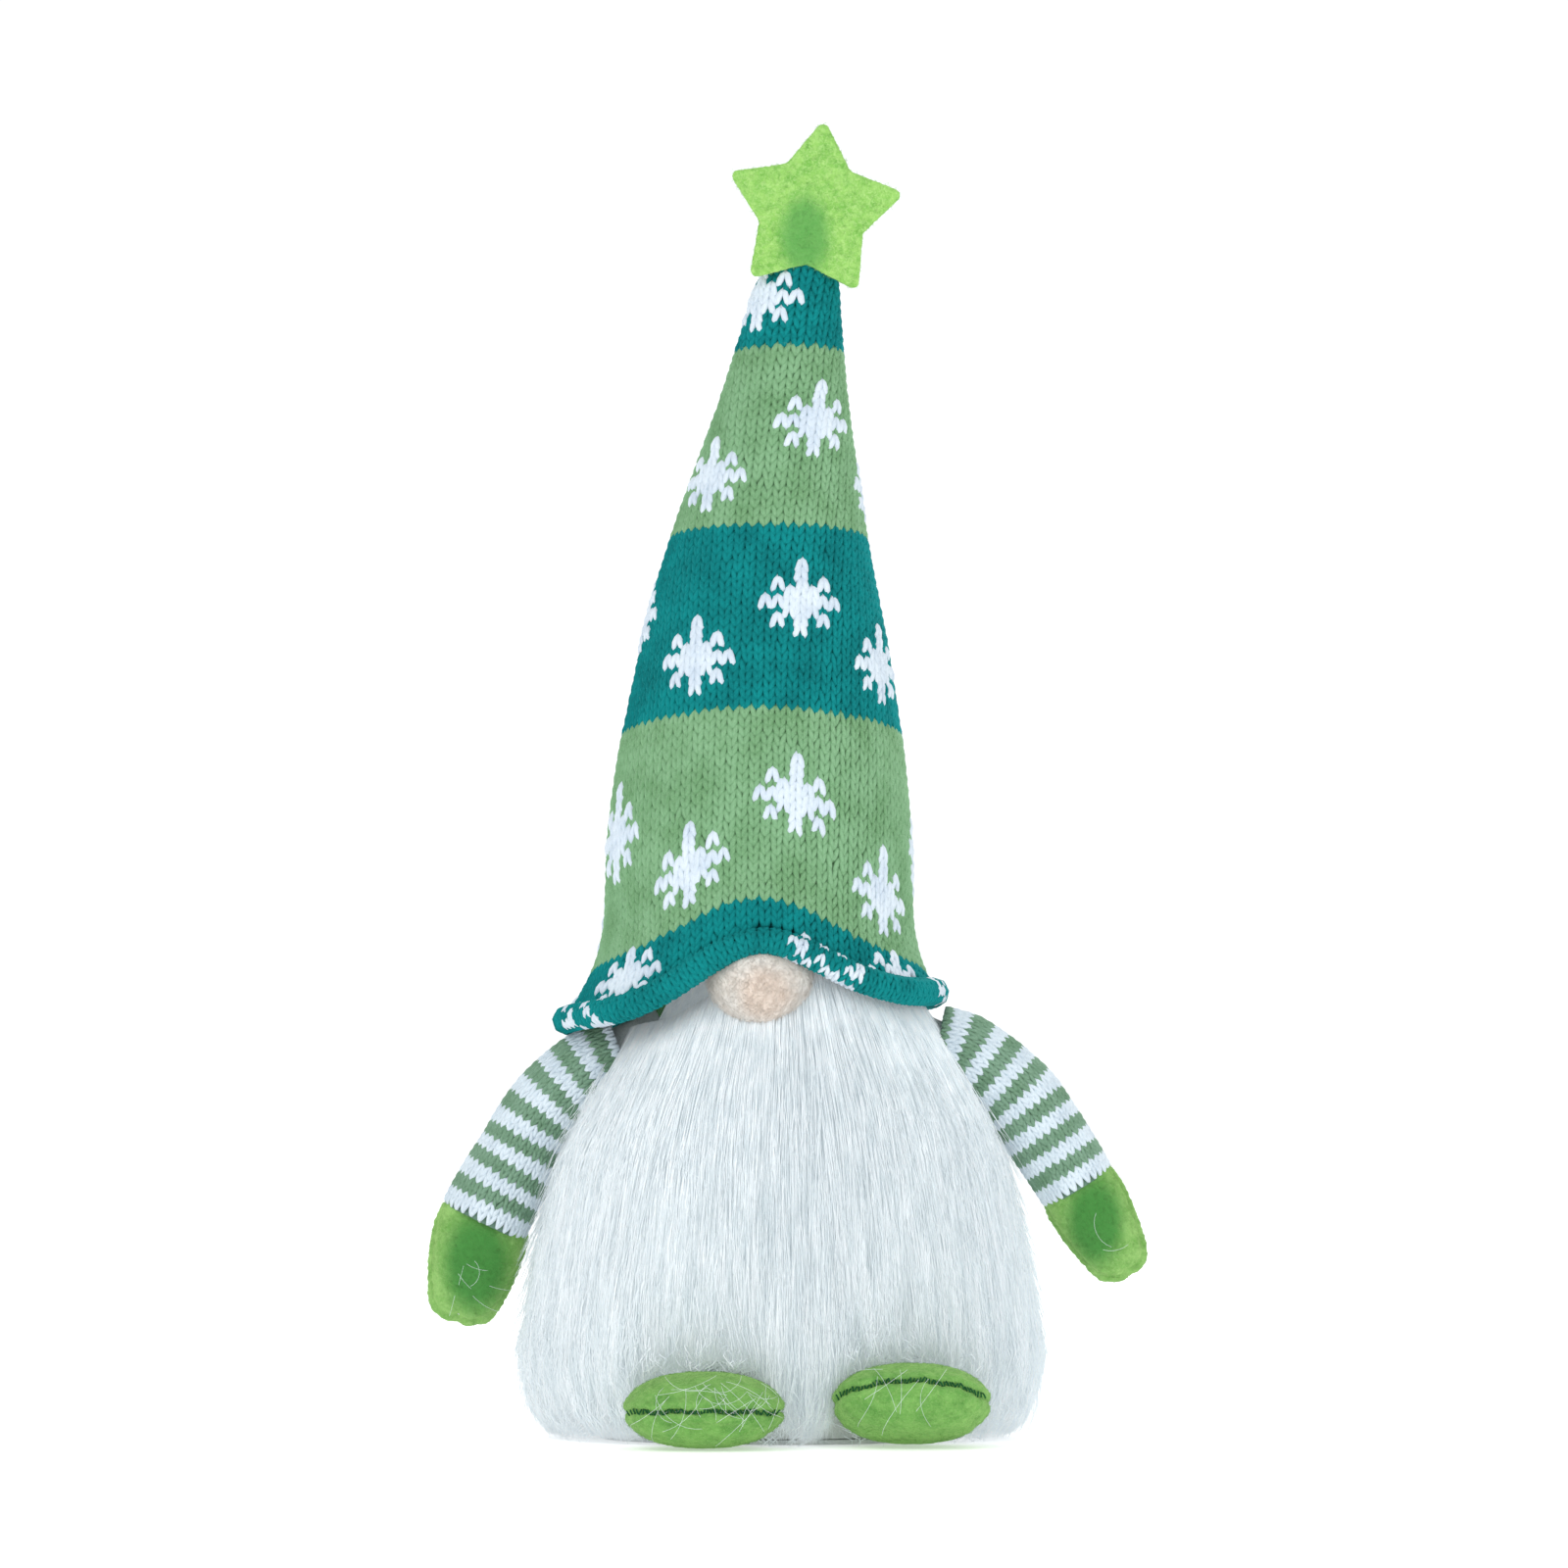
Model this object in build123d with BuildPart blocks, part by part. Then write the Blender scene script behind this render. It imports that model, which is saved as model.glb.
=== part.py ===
from build123d import *
from math import cos, radians, sin, sqrt, tan
import os

# A stuffed gnome that stands on its flat base. Millimetres, +Z up, front towards -Y, origin at the
# centre of the base. Soft pieces are plain closed solids of the right size and place.

# --- clearances and cloth thicknesses ---
joint_gap = 0.35  # between pieces that move past each other
glue_gap = 0.2  # between a filling and its cover
fleece = 1.3
knit = 2.2
sleeve_knit = 1.6
felt = 1.5
room = 40.0  # how far a cutting shape reaches past what it cuts

# --- base and ballast ---
base_radius = 57.0
base_thickness = 1.5
board_radius = 52.0
board_thickness = 2.0
ballast_radius = 32.0
ballast_height = 14.0
ballast_wall = 1.0
ballast_round = 5.0

# --- body: radius at each height ---
belly_radius = 62.0
belly_height = 40.0
waist_radius = 55.0
waist_height = 75.0
chest_radius = 41.0
chest_height = 112.0
head_radius = 32.0
head_height = 146.0
foot_rise = 13.0  # the cover rounds in below this height above the base
foot_inset = 1.0
crown_rise = 14.0  # above head_height
crown_share = 0.72  # of head_radius
peak_share = 0.38
peak_drop = 3.4  # below head_top
peak_lean = (0.9, 0.5)  # way that the cover faces near its top
foot_tangent = (0.6, 1.0)
head_top = 172.0

# --- beard ---
backing = 1.4
beard_bottom = base_thickness
beard_top = 137.0
beard_step = 55.0  # below the hands the pile reaches further round
beard_low_angle = 105.0  # either side of the front
beard_high_angle = 74.0
# pile outline as radius and height
pile_outline = [
    (80.0, beard_bottom),
    (82.0, 26.0),
    (78.0, 55.0),
    (70.5, 88.0),
    (60.5, 115.0),
    (48.0, 130.0),
    (40.0, 140.0),
]

# --- nose ---
nose_radius = 16.0
nose_x = -6.5
nose_y = -38.0
nose_z = 144.7

# --- hat below its bend: height, half width, half depth ---
hat_x = -7.0
brim = [
    (118.0, 66.0, 60.0),
    (131.0, 59.5, 56.0),
    (141.0, 53.5, 52.5),
    (150.0, 49.5, 50.5),
    (160.0, 47.3, 49.0),
    (172.0, 46.8, 47.5),
    (186.0, 46.5, 46.5),
]
hem_radius = 4.5
wire_radius = 0.9
hem_left = (-66.5, 130.5)
hem_right = (47.0, 139.5)
hem_front = [(-48.0, 135.0), (-33.0, 143.0), (-20.0, 153.0), (-5.5, 158.5), (8.0, 153.5), (23.0, 145.0), (37.0, 140.5)]
hem_back = [(-50.0, 129.0), (-30.0, 127.0), (-8.0, 127.0), (16.0, 130.0), (36.0, 136.0)]
stuffing_floor = 163.5

# --- bend of the hat, about a ball ---
lean_x = -6.5
lean_z = 200.0
lean_radius = 43.5
lean_dome = 27.0  # the ball's cover rises this far above the bend
lean_ledge = 3.0  # ledge below the bend, where the hat is full width again
ledge_height = 2.0
ledge_inset = 0.3  # under the lower hat's knit
hat_rim = 15.7  # rim of the upper hat, above the bend
filling_rim = 19.0

# --- hat above its bend: height, half width, half depth, sideways shift ---
cone = [
    (lean_z + hat_rim, 43.4, 43.4, -6.2),
    (233.0, 40.3, 40.3, -5.7),
    (251.0, 37.0, 37.0, -5.2),
    (270.0, 32.7, 32.7, -4.7),
    (288.0, 28.2, 28.2, -3.4),
    (307.0, 23.4, 23.4, -1.3),
    (325.0, 18.9, 18.3, 0.8),
    (343.0, 15.3, 13.4, 2.8),
    (359.0, 12.2, 8.4, 4.8),
    (373.0, 9.0, 5.4, 7.0),
]
tip_radius = 3.4
tip_low = 384.0
tip_top = 392.0
tip_x = 9.3
tie_thread = 1.0
tie_height = 2.0

# --- star ---
star_x = 10.0
star_z = 385.0
star_outer = 29.5
star_inner = 17.2
star_turn = -7.0  # clockwise, seen from the front
star_round = 2.0
star_open_angle = 9.0  # each layer leans this far, so that the two straddle the hat's tip
star_top_gap = 0.6

# --- arms, each with its points as (x, z) ---
arms = {
    "left": {
        "shoulder": (-50.0, 119.0),
        "bend": (-63.0, 113.0),
        "cuff": (-92.9, 69.3),
        "fingers": (-101.2, 36.0),
        "cuff_radius": 13.8,
        "hand_radius": 14.4,
    },
    "right": {
        "shoulder": (50.0, 120.0),
        "bend": (66.0, 113.0),
        "cuff": (92.6, 79.7),
        "fingers": (108.6, 51.4),
        "cuff_radius": 10.8,
        "hand_radius": 11.8,
    },
}
arm_radius = 12.0
shoulder_disc_radius = 10.0
tab_depth = 16.0
# share of the hand's length, of its width and of its depth
hand_shape = [(0.30, 1.0, 0.78), (0.55, 0.92, 0.66), (0.80, 0.70, 0.50), (0.94, 0.46, 0.36), (1.0, 0.22, 0.2)]

# --- shoes ---
shoes = {
    "left": {"x": -24.0, "half_width": 25.5, "hinge_z": 9.0, "tilt": 0.0},
    "right": {"x": 40.6, "half_width": 25.0, "hinge_z": 7.2, "tilt": 12.0},
}
shoe_length = 50.0
shoe_height = 24.0
shoe_seam = 12.9
shoe_hinge_inset = 9.0
shoe_hinge_height = 9.0
shoe_body_gap = 3.0
shoe_thread = 0.7
ankle_radius = 3.2
ankle_width = 15.0
ankle_strip = 2.4
# share of the shoe's length, of its width and of its height
shoe_shape = [
    (0.0, 0.35, 0.42),
    (0.14, 0.72, 0.78),
    (0.35, 0.97, 0.97),
    (0.60, 1.0, 1.0),
    (0.82, 0.84, 0.84),
    (0.94, 0.60, 0.58),
    (1.0, 0.30, 0.28),
]
shoe_arch_side = 5.0  # parting of the beard beside a shoe
shoe_arch_height = 38.0

os.makedirs("parts", exist_ok=True)


def keep(piece, name):
    """Name a finished piece and write it."""
    piece.label = name
    export_step(piece, f"parts/{name}.step")


# --- body, beard and base, all turned about the body's axis ---
def body_solid(grow):
    """The stuffed body, with its outline moved outwards by grow."""
    outline = [
        (base_radius + grow, base_thickness),
        (belly_radius - foot_inset + grow, base_thickness + foot_rise),
        (belly_radius + grow, belly_height),
        (waist_radius + grow, waist_height),
        (chest_radius + grow, chest_height),
        (head_radius + grow, head_height),
        (head_radius * crown_share + grow, head_height + crown_rise),
        (head_radius * peak_share + grow * peak_lean[0], head_top - peak_drop + grow * peak_lean[1]),
        (0, head_top + grow),
    ]
    with BuildPart() as solid:
        with BuildSketch(Plane.XZ):
            with BuildLine():
                Spline(*outline, tangents=[foot_tangent, (-1, 0)])
                Polyline(outline[-1], (0, base_thickness), outline[0])
            make_face()
        revolve(axis=Axis.Z)
    return solid.part


def front_sector(angle, low, high):
    """Wedge of space that reaches angle degrees to either side of the front."""
    start = radians(-90 - angle)
    outwards = Vector(cos(start), sin(start), 0)
    side = Plane(origin=(0, 0, 0), x_dir=outwards, z_dir=outwards.cross(Vector(0, 0, 1)))
    reach = pile_outline[1][0] + room
    with BuildPart() as wedge:
        with BuildSketch(side):
            with Locations((reach / 2, (low + high) / 2)):
                Rectangle(reach, high - low)
        revolve(axis=Axis.Z, revolution_arc=2 * angle)
    return wedge.part


def disc(radius, low, high):
    with BuildPart() as solid:
        with BuildSketch(Plane.XY.offset(low)):
            Circle(radius)
        extrude(amount=high - low)
    return solid.part


body_outside = body_solid(0)
board_top = base_thickness + board_thickness

with BuildPart() as base_panel:
    add(disc(base_radius, 0, base_thickness))
keep(base_panel.part, "base_panel")

with BuildPart() as base_board:
    add(disc(board_radius, base_thickness, board_top))
keep(base_board.part, "base_board")

with BuildPart() as ballast_outside:
    add(disc(ballast_radius, board_top, board_top + ballast_height))
    fillet(ballast_outside.edges().group_by(Axis.Z)[-1], ballast_round)

with BuildPart() as ballast_pellets:
    add(disc(ballast_radius - ballast_wall, board_top + ballast_wall, board_top + ballast_height - ballast_wall))
    fillet(ballast_pellets.edges().group_by(Axis.Z)[-1], ballast_round - ballast_wall)
keep(ballast_pellets.part, "ballast_pellets")

with BuildPart() as ballast_bag:
    add(ballast_outside.part)
    add(ballast_pellets.part, mode=Mode.SUBTRACT)
keep(ballast_bag.part, "ballast_bag")

with BuildPart() as body_cover:
    add(body_outside)
    add(body_solid(-fleece), mode=Mode.SUBTRACT)
    add(disc(board_radius + glue_gap, base_thickness, board_top), mode=Mode.SUBTRACT)
keep(body_cover.part, "body_cover")

with BuildPart() as body_filling:
    add(body_solid(-fleece - glue_gap))
    add(disc(base_radius, 0, board_top), mode=Mode.SUBTRACT)
    add(ballast_outside.part, mode=Mode.SUBTRACT)
keep(body_filling.part, "body_filling")


# --- arms ---
def along(origin, direction):
    """Sketch plane through the direction: its X runs along it, and it faces the front or back."""
    return Plane(origin=origin, x_dir=direction, z_dir=(0, 1, 0))


def across(origin, direction):
    """Sketch plane square to the direction, with its Y along the depth of the figure."""
    return Plane(origin=origin, x_dir=Vector(0, 1, 0).cross(direction), z_dir=direction)


def sleeve_solid(arm, shrink):
    """Sleeve with a round head about the arm's bend, tapering to the cuff."""
    bend = Vector(arm["bend"][0], 0, arm["bend"][1])
    cuff = Vector(arm["cuff"][0], 0, arm["cuff"][1])
    head = arm_radius - shrink
    end = arm["cuff_radius"] - shrink
    length = (cuff - bend).length
    with BuildPart() as solid:
        with BuildSketch(along(bend, (cuff - bend).normalized())):
            with BuildLine():
                CenterArc((0, 0), head, 90, 90)
                Polyline((0, head), (length, end), (length, 0), (-head, 0))
            make_face()
        revolve(axis=Axis(bend, cuff - bend))
    return solid.part


def mitten_solid(arm, shrink, overrun):
    """Mitten: round where it meets the cuff, which it can overrun, flat and blunt at the fingers."""
    bend = Vector(arm["bend"][0], 0, arm["bend"][1])
    cuff = Vector(arm["cuff"][0], 0, arm["cuff"][1])
    fingers = Vector(arm["fingers"][0], 0, arm["fingers"][1])
    hand = (fingers - cuff).normalized()
    length = (fingers - cuff).length - shrink
    sleeve = (cuff - bend).normalized()
    with BuildPart() as solid:
        with BuildSketch(across(cuff - sleeve * overrun, sleeve)):
            Circle(arm["cuff_radius"] - shrink)
        for share, width, depth in hand_shape:
            with BuildSketch(across(cuff + hand * length * share, hand)):
                Ellipse(arm["hand_radius"] * width - shrink, arm["hand_radius"] * depth - shrink)
        loft()
    return solid.part


arm_spaces = []
for name, arm in arms.items():
    shoulder = Vector(arm["shoulder"][0], 0, arm["shoulder"][1])
    bend = Vector(arm["bend"][0], 0, arm["bend"][1])
    stub = (bend - shoulder).normalized()
    stub_length = (bend - shoulder).length

    with BuildPart() as arm_space:
        with BuildSketch(across(shoulder - stub * tab_depth, stub)):
            Circle(arm_radius + 1)
        extrude(amount=tab_depth + stub_length)
    arm_spaces.append(arm_space.part)

    # sewn to the body, with its outer face square to the stub
    with BuildPart() as arm_tab:
        with BuildSketch(across(shoulder - stub * tab_depth, stub)):
            Circle(shoulder_disc_radius)
        extrude(amount=tab_depth)
        add(body_outside, mode=Mode.SUBTRACT)
    keep(arm_tab.part, f"arm_tab_{name}")

    # gathered top of the sleeve: it turns on the tab and cups the round head of the arm
    with BuildPart() as sleeve_head:
        with BuildSketch(along(shoulder, stub)):
            with Locations((joint_gap, 0)):
                Rectangle(stub_length / 2, shoulder_disc_radius, align=(Align.MIN, Align.MIN))
            with Locations((stub_length, 0)):
                Circle(arm_radius + joint_gap, mode=Mode.SUBTRACT)
        revolve(axis=Axis(shoulder, stub))
    keep(sleeve_head.part, f"sleeve_head_{name}")

    with BuildPart() as sleeve:
        add(sleeve_solid(arm, 0))
        add(sleeve_solid(arm, sleeve_knit), mode=Mode.SUBTRACT)
    keep(sleeve.part, f"sleeve_{name}")

    for half, side in (("front", Keep.TOP), ("back", Keep.BOTTOM)):
        with BuildPart() as mitten:
            add(mitten_solid(arm, 0, 0))
            add(mitten_solid(arm, felt, felt), mode=Mode.SUBTRACT)
            split(bisect_by=Plane.XZ, keep=side)
        keep(mitten.part, f"mitten_{half}_{name}")

    with BuildPart() as arm_filling:
        add(sleeve_solid(arm, sleeve_knit + glue_gap))
        add(mitten_solid(arm, felt + 3 * glue_gap, 0))
    keep(arm_filling.part, f"arm_filling_{name}")

# --- shoes ---
def shoe_plane(shoe, share):
    """Upright plane across a flat shoe, share of its length forward from the heel."""
    reach = belly_radius + backing + shoe_body_gap
    heel_y = -sqrt(reach**2 - shoe["x"] ** 2)
    centre_z = shoe["hinge_z"] - shoe_hinge_height + shoe_height / 2
    return Plane(origin=(shoe["x"], heel_y - shoe_length * share, centre_z), x_dir=(1, 0, 0), z_dir=(0, -1, 0))


def shoe_solid(shoe, shrink):
    """Stuffed shoe, lying flat."""
    inside = shrink / shoe_length
    with BuildPart() as solid:
        for share, width, height in shoe_shape:
            with BuildSketch(shoe_plane(shoe, inside + share * (1 - 2 * inside))):
                Ellipse(shoe["half_width"] * width - shrink, shoe_height / 2 * height - shrink)
        loft()
    return solid.part


shoe_spaces = []
for name, shoe in shoes.items():
    heel = shoe_plane(shoe, 0).origin
    hinge = Vector(shoe["x"], heel.Y - shoe_hinge_inset, shoe["hinge_z"])
    hinge_axis = Axis(hinge, (1, 0, 0))
    seam_z = shoe["hinge_z"] - shoe_hinge_height + shoe_seam
    seam_plane = Plane.XY.offset(seam_z)
    outside = shoe_solid(shoe, 0)
    inside = shoe_solid(shoe, felt)

    with BuildPart() as shoe_space:
        with BuildSketch(Plane.XZ):
            with Locations((shoe["x"], 0)):
                Ellipse(shoe["half_width"] + shoe_arch_side, shoe_arch_height)
        extrude(amount=pile_outline[1][0] + room)
    shoe_spaces.append(shoe_space.part)

    # slot in the heel, round the sewn ankle
    with BuildPart() as slot:
        with BuildSketch(Plane.YZ.offset(shoe["x"])):
            with Locations((hinge.Y, hinge.Z)):
                Circle(ankle_radius + joint_gap)
            with Locations((hinge.Y + shoe_hinge_inset, hinge.Z)):
                Rectangle(2 * shoe_hinge_inset, 2 * shoe_height)
        extrude(amount=ankle_width / 2 + joint_gap, both=True)

    with BuildPart() as ankle:
        with BuildSketch(Plane.YZ.offset(shoe["x"])):
            with Locations((hinge.Y, hinge.Z)):
                Circle(ankle_radius)
            with Locations((hinge.Y / 2, hinge.Z)):
                Rectangle(-hinge.Y, ankle_strip)
        extrude(amount=ankle_width / 2, both=True)
        add(body_outside, mode=Mode.SUBTRACT)
    ankle_piece = ankle.part.solids().sort_by(Axis.Y)[0]
    keep(Part() + ankle_piece, f"ankle_{name}")

    for piece_name, side in (("shoe_upper", Keep.TOP), ("shoe_sole", Keep.BOTTOM)):
        with BuildPart() as shell:
            add(outside)
            add(inside, mode=Mode.SUBTRACT)
            add(slot.part, mode=Mode.SUBTRACT)
            split(bisect_by=seam_plane, keep=side)
        keep(shell.part.rotate(hinge_axis, -shoe["tilt"]), f"{piece_name}_{name}")

    with BuildPart() as shoe_filling:
        add(shoe_solid(shoe, felt + glue_gap))
        add(slot.part, mode=Mode.SUBTRACT)
    keep(shoe_filling.part.rotate(hinge_axis, -shoe["tilt"]), f"shoe_filling_{name}")

    # thread laid in the seam round the shoe, standing a little proud of it
    with BuildPart() as seam_thread:
        with BuildSketch(Plane.XY.offset(seam_z - shoe_thread / 2)):
            with Locations((shoe["x"], hinge.Y)):
                Rectangle(4 * shoe["half_width"], 4 * shoe_length)
        extrude(amount=shoe_thread)
        add(shoe_solid(shoe, -shoe_thread / 2), mode=Mode.INTERSECT)
        add(outside, mode=Mode.SUBTRACT)
        add(slot.part, mode=Mode.SUBTRACT)
    keep(seam_thread.part.rotate(hinge_axis, -shoe["tilt"]), f"seam_thread_{name}")

# --- nose and beard ---
with BuildPart() as nose_ball:
    with Locations((nose_x, nose_y, nose_z)):
        Sphere(nose_radius)

with BuildPart() as nose:
    add(nose_ball.part)
    add(body_outside, mode=Mode.SUBTRACT)
keep(nose.part, "nose")

with BuildPart() as beard_backing:
    add(body_solid(backing))
    add(body_outside, mode=Mode.SUBTRACT)
    add(front_sector(beard_high_angle, beard_bottom, beard_top), mode=Mode.INTERSECT)
    for space in arm_spaces + shoe_spaces + [nose_ball.part]:
        add(space, mode=Mode.SUBTRACT)
keep(beard_backing.part, "beard_backing")

with BuildPart() as pile_outside:
    with BuildSketch(Plane.XZ):
        with BuildLine():
            Spline(*pile_outline)
            Polyline(pile_outline[-1], (0, pile_outline[-1][1]), (0, pile_outline[0][1]), pile_outline[0])
        make_face()
    revolve(axis=Axis.Z)

with BuildPart() as beard_room:
    add(front_sector(beard_low_angle, beard_bottom, beard_step))
    add(front_sector(beard_high_angle, beard_step, beard_top))

with BuildPart() as beard_pile:
    add(pile_outside.part)
    add(body_solid(backing), mode=Mode.SUBTRACT)
    add(beard_room.part, mode=Mode.INTERSECT)
    for space in arm_spaces + shoe_spaces + [nose_ball.part]:
        add(space, mode=Mode.SUBTRACT)
keep(beard_pile.part, "beard_pile")


# --- hat below the bend ---
def ellipses(sections, shrink):
    """Solid through level ellipses, each given as height, half width, half depth and sideways shift."""
    with BuildPart() as solid:
        for z, half_width, half_depth, x in sections:
            with BuildSketch(Plane((x, 0, z))):
                Ellipse(half_width - shrink, half_depth - shrink)
        loft()
    return solid.part


def hem_cut(points, depth):
    """Space below the hem's wave, reaching from the middle to the front or to the back."""
    wave = [hem_left, *points, hem_right]
    low = brim[0][0] - knit
    far = brim[0][1] + room
    with BuildPart() as space:
        with BuildSketch(Plane.XZ):
            with BuildLine():
                Spline(*wave, tangents=[(1, 0), (1, 0)])
                Polyline(hem_right, (far, hem_right[1]), (far, low), (-far, low), (-far, hem_left[1]), hem_left)
            make_face()
        extrude(amount=depth)
    return space.part


def on_brim(x, z, side):
    """Point on the middle of the brim's cloth; side is -1 at the front and 1 at the back."""
    below, above = next((a, b) for a, b in zip(brim, brim[1:]) if a[0] <= z <= b[0])
    share = (z - below[0]) / (above[0] - below[0])
    half_width = below[1] + share * (above[1] - below[1]) - knit / 2
    half_depth = below[2] + share * (above[2] - below[2]) - knit / 2
    off = (x - hat_x) / half_width
    return (x, side * half_depth * sqrt(max(0.0, 1 - off**2)), z)


hem_left_end = on_brim(hem_left[0], hem_left[1], -1)
hem_right_end = on_brim(hem_right[0], hem_right[1], -1)


def hem_tube(radius):
    """Closed tube along the hem, swept as a front half and a back half."""
    with BuildPart() as tube:
        for points, side in ((hem_front, -1), (hem_back, 1)):
            with BuildLine() as path:
                wave = [hem_left_end] + [on_brim(x, z, side) for x, z in points] + [hem_right_end]
                Spline(*wave, tangents=[(0, side, 0), (0, -side, 0)])
            with BuildSketch(Plane(origin=path.line @ 0, z_dir=path.line % 0)):
                Circle(radius)
            sweep(path=path.line)
    return tube.part


ledge_z = lean_z - lean_ledge
ledge_radius = brim[-1][1] - ledge_inset
lower_sections = [(z, w, d, hat_x) for z, w, d in brim] + [(ledge_z, ledge_radius, ledge_radius, lean_x)]

with BuildPart() as lean_ball:
    with Locations((lean_x, 0, lean_z)):
        Sphere(lean_radius)

with BuildPart() as dome_room:
    with BuildSketch(Plane((lean_x, 0, ledge_z - ledge_height))):
        Circle(lean_radius + room)
    extrude(amount=ledge_height + lean_ledge + lean_dome)

with BuildPart() as dome:
    add(lean_ball.part)
    with Locations((lean_x, 0, lean_z)):
        Sphere(lean_radius - knit, mode=Mode.SUBTRACT)
    add(dome_room.part, mode=Mode.INTERSECT)

with BuildPart() as ledge:
    with BuildSketch(Plane((lean_x, 0, ledge_z - ledge_height))):
        Circle(ledge_radius - knit / 2)
    extrude(amount=ledge_height)
    add(lean_ball.part, mode=Mode.SUBTRACT)

with BuildPart() as hat_lower:
    add(ellipses(lower_sections, 0))
    add(ellipses(lower_sections, knit), mode=Mode.SUBTRACT)
    add(hem_cut(hem_front, room + brim[0][2]), mode=Mode.SUBTRACT)
    add(hem_cut(hem_back, -room - brim[0][2]), mode=Mode.SUBTRACT)
    add(dome.part)
    add(ledge.part)
    add(hem_tube(hem_radius), mode=Mode.SUBTRACT)
keep(hat_lower.part, "hat_lower")

with BuildPart() as brim_wire:
    add(hem_tube(wire_radius))
keep(brim_wire.part, "brim_wire")

with BuildPart() as hat_hem:
    add(hem_tube(hem_radius))
    add(brim_wire.part, mode=Mode.SUBTRACT)
keep(hat_hem.part, "hat_hem")

with BuildPart() as hat_filling_lower:
    add(ellipses(lower_sections, knit + glue_gap))
    with BuildSketch(Plane((hat_x, 0, 0))):
        Rectangle(2 * (base_radius + room), 2 * (base_radius + room))
    extrude(amount=stuffing_floor, mode=Mode.SUBTRACT)
    add(ledge.part, mode=Mode.SUBTRACT)
    with Locations((lean_x, 0, lean_z)):
        Sphere(lean_radius - knit - glue_gap)
    add(body_outside, mode=Mode.SUBTRACT)
    add(dome.part, mode=Mode.SUBTRACT)
keep(hat_filling_lower.part, "hat_filling_lower")

# --- hat above the bend ---
neck = [(tip_low, tip_radius, tip_radius, tip_x), (tip_top, tip_radius, tip_radius, tip_x)]

with BuildPart() as hat_cone:
    add(ellipses(cone + neck, 0))
    add(ellipses(cone, knit), mode=Mode.SUBTRACT)
keep(hat_cone.part, "hat_cone")

with BuildPart() as hat_filling_upper:
    add(ellipses(cone, knit + glue_gap))
    with Locations((lean_x, 0, lean_z)):
        Sphere(lean_radius + joint_gap, mode=Mode.SUBTRACT)
    with BuildSketch(Plane((lean_x, 0, lean_z))):
        Circle(lean_radius + room)
    extrude(amount=filling_rim, mode=Mode.SUBTRACT)
keep(hat_filling_upper.part, "hat_filling_upper")

with BuildPart() as tip_tie:
    with BuildSketch(Plane((tip_x, 0, tip_low + tie_height))):
        Circle(tip_radius + tie_thread)
        Circle(tip_radius, mode=Mode.SUBTRACT)
    extrude(amount=tie_height)
keep(tip_tie.part, "tip_tie")

# --- star ---
lean = radians(star_open_angle)
star_offset = star_top_gap / 2 + star_outer * tan(lean)
star_plane = Plane(origin=(star_x, -star_offset, star_z), x_dir=(1, 0, 0), z_dir=(0, -cos(lean), sin(lean)))
star_points = []
for k in range(10):
    turn = radians(90 + star_turn + 36 * k)
    reach = star_inner if k % 2 else star_outer
    star_points.append((reach * cos(turn), reach * sin(turn)))

with BuildPart() as star_front:
    with BuildSketch(star_plane) as star_sketch:
        with BuildLine():
            Polyline(*star_points, close=True)
        make_face()
        fillet(star_sketch.vertices(), star_round)
    extrude(amount=felt)
keep(star_front.part, "star_front")

with BuildPart() as star_back:
    add(star_front.part)
    mirror(about=Plane.XZ, mode=Mode.REPLACE)
keep(star_back.part, "star_back")
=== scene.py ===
import math
import bpy
import numpy as np
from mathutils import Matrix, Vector


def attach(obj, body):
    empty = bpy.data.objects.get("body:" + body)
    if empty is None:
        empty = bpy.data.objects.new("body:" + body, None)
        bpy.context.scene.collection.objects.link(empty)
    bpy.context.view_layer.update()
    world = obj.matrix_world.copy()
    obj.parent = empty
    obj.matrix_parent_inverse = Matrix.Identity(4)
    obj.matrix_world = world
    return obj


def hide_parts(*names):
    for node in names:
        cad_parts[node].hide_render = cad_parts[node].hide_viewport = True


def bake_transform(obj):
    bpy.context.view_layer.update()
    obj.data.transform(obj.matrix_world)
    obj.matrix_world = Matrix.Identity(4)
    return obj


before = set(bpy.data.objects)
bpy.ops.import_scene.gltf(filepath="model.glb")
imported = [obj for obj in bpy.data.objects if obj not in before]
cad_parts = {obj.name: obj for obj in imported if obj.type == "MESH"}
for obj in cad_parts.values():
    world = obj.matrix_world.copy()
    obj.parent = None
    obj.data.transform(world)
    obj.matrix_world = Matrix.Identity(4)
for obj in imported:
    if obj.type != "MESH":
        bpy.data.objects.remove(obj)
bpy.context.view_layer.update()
rng = np.random.default_rng(11)
mm = 0.001


# colours are given as on a paint chart, 0 to 255
def paint(red, green, blue):
    made = []
    for level in (red, green, blue):
        share = level / 255
        made.append(share / 12.92 if share < 0.041 else ((share + 0.055) / 1.055) ** 2.4)
    return (*made, 1.0)


# finishes
def newGroup(name, inputs, outputs):
    group = bpy.data.node_groups.new(name, "ShaderNodeTree")
    for label, kind, value in inputs:
        socket = group.interface.new_socket(label, in_out="INPUT", socket_type=kind)
        socket.default_value = value
    for label, kind in outputs:
        group.interface.new_socket(label, in_out="OUTPUT", socket_type=kind)
    return group, group.nodes.new("NodeGroupInput"), group.nodes.new("NodeGroupOutput")


def mixColours(nodes, links, factor, low, high):
    mix = nodes.new("ShaderNodeMix")
    mix.data_type = "RGBA"
    links.new(factor, mix.inputs["Factor"])
    links.new(low, mix.inputs["A"])
    links.new(high, mix.inputs["B"])
    return mix.outputs["Result"]


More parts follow.
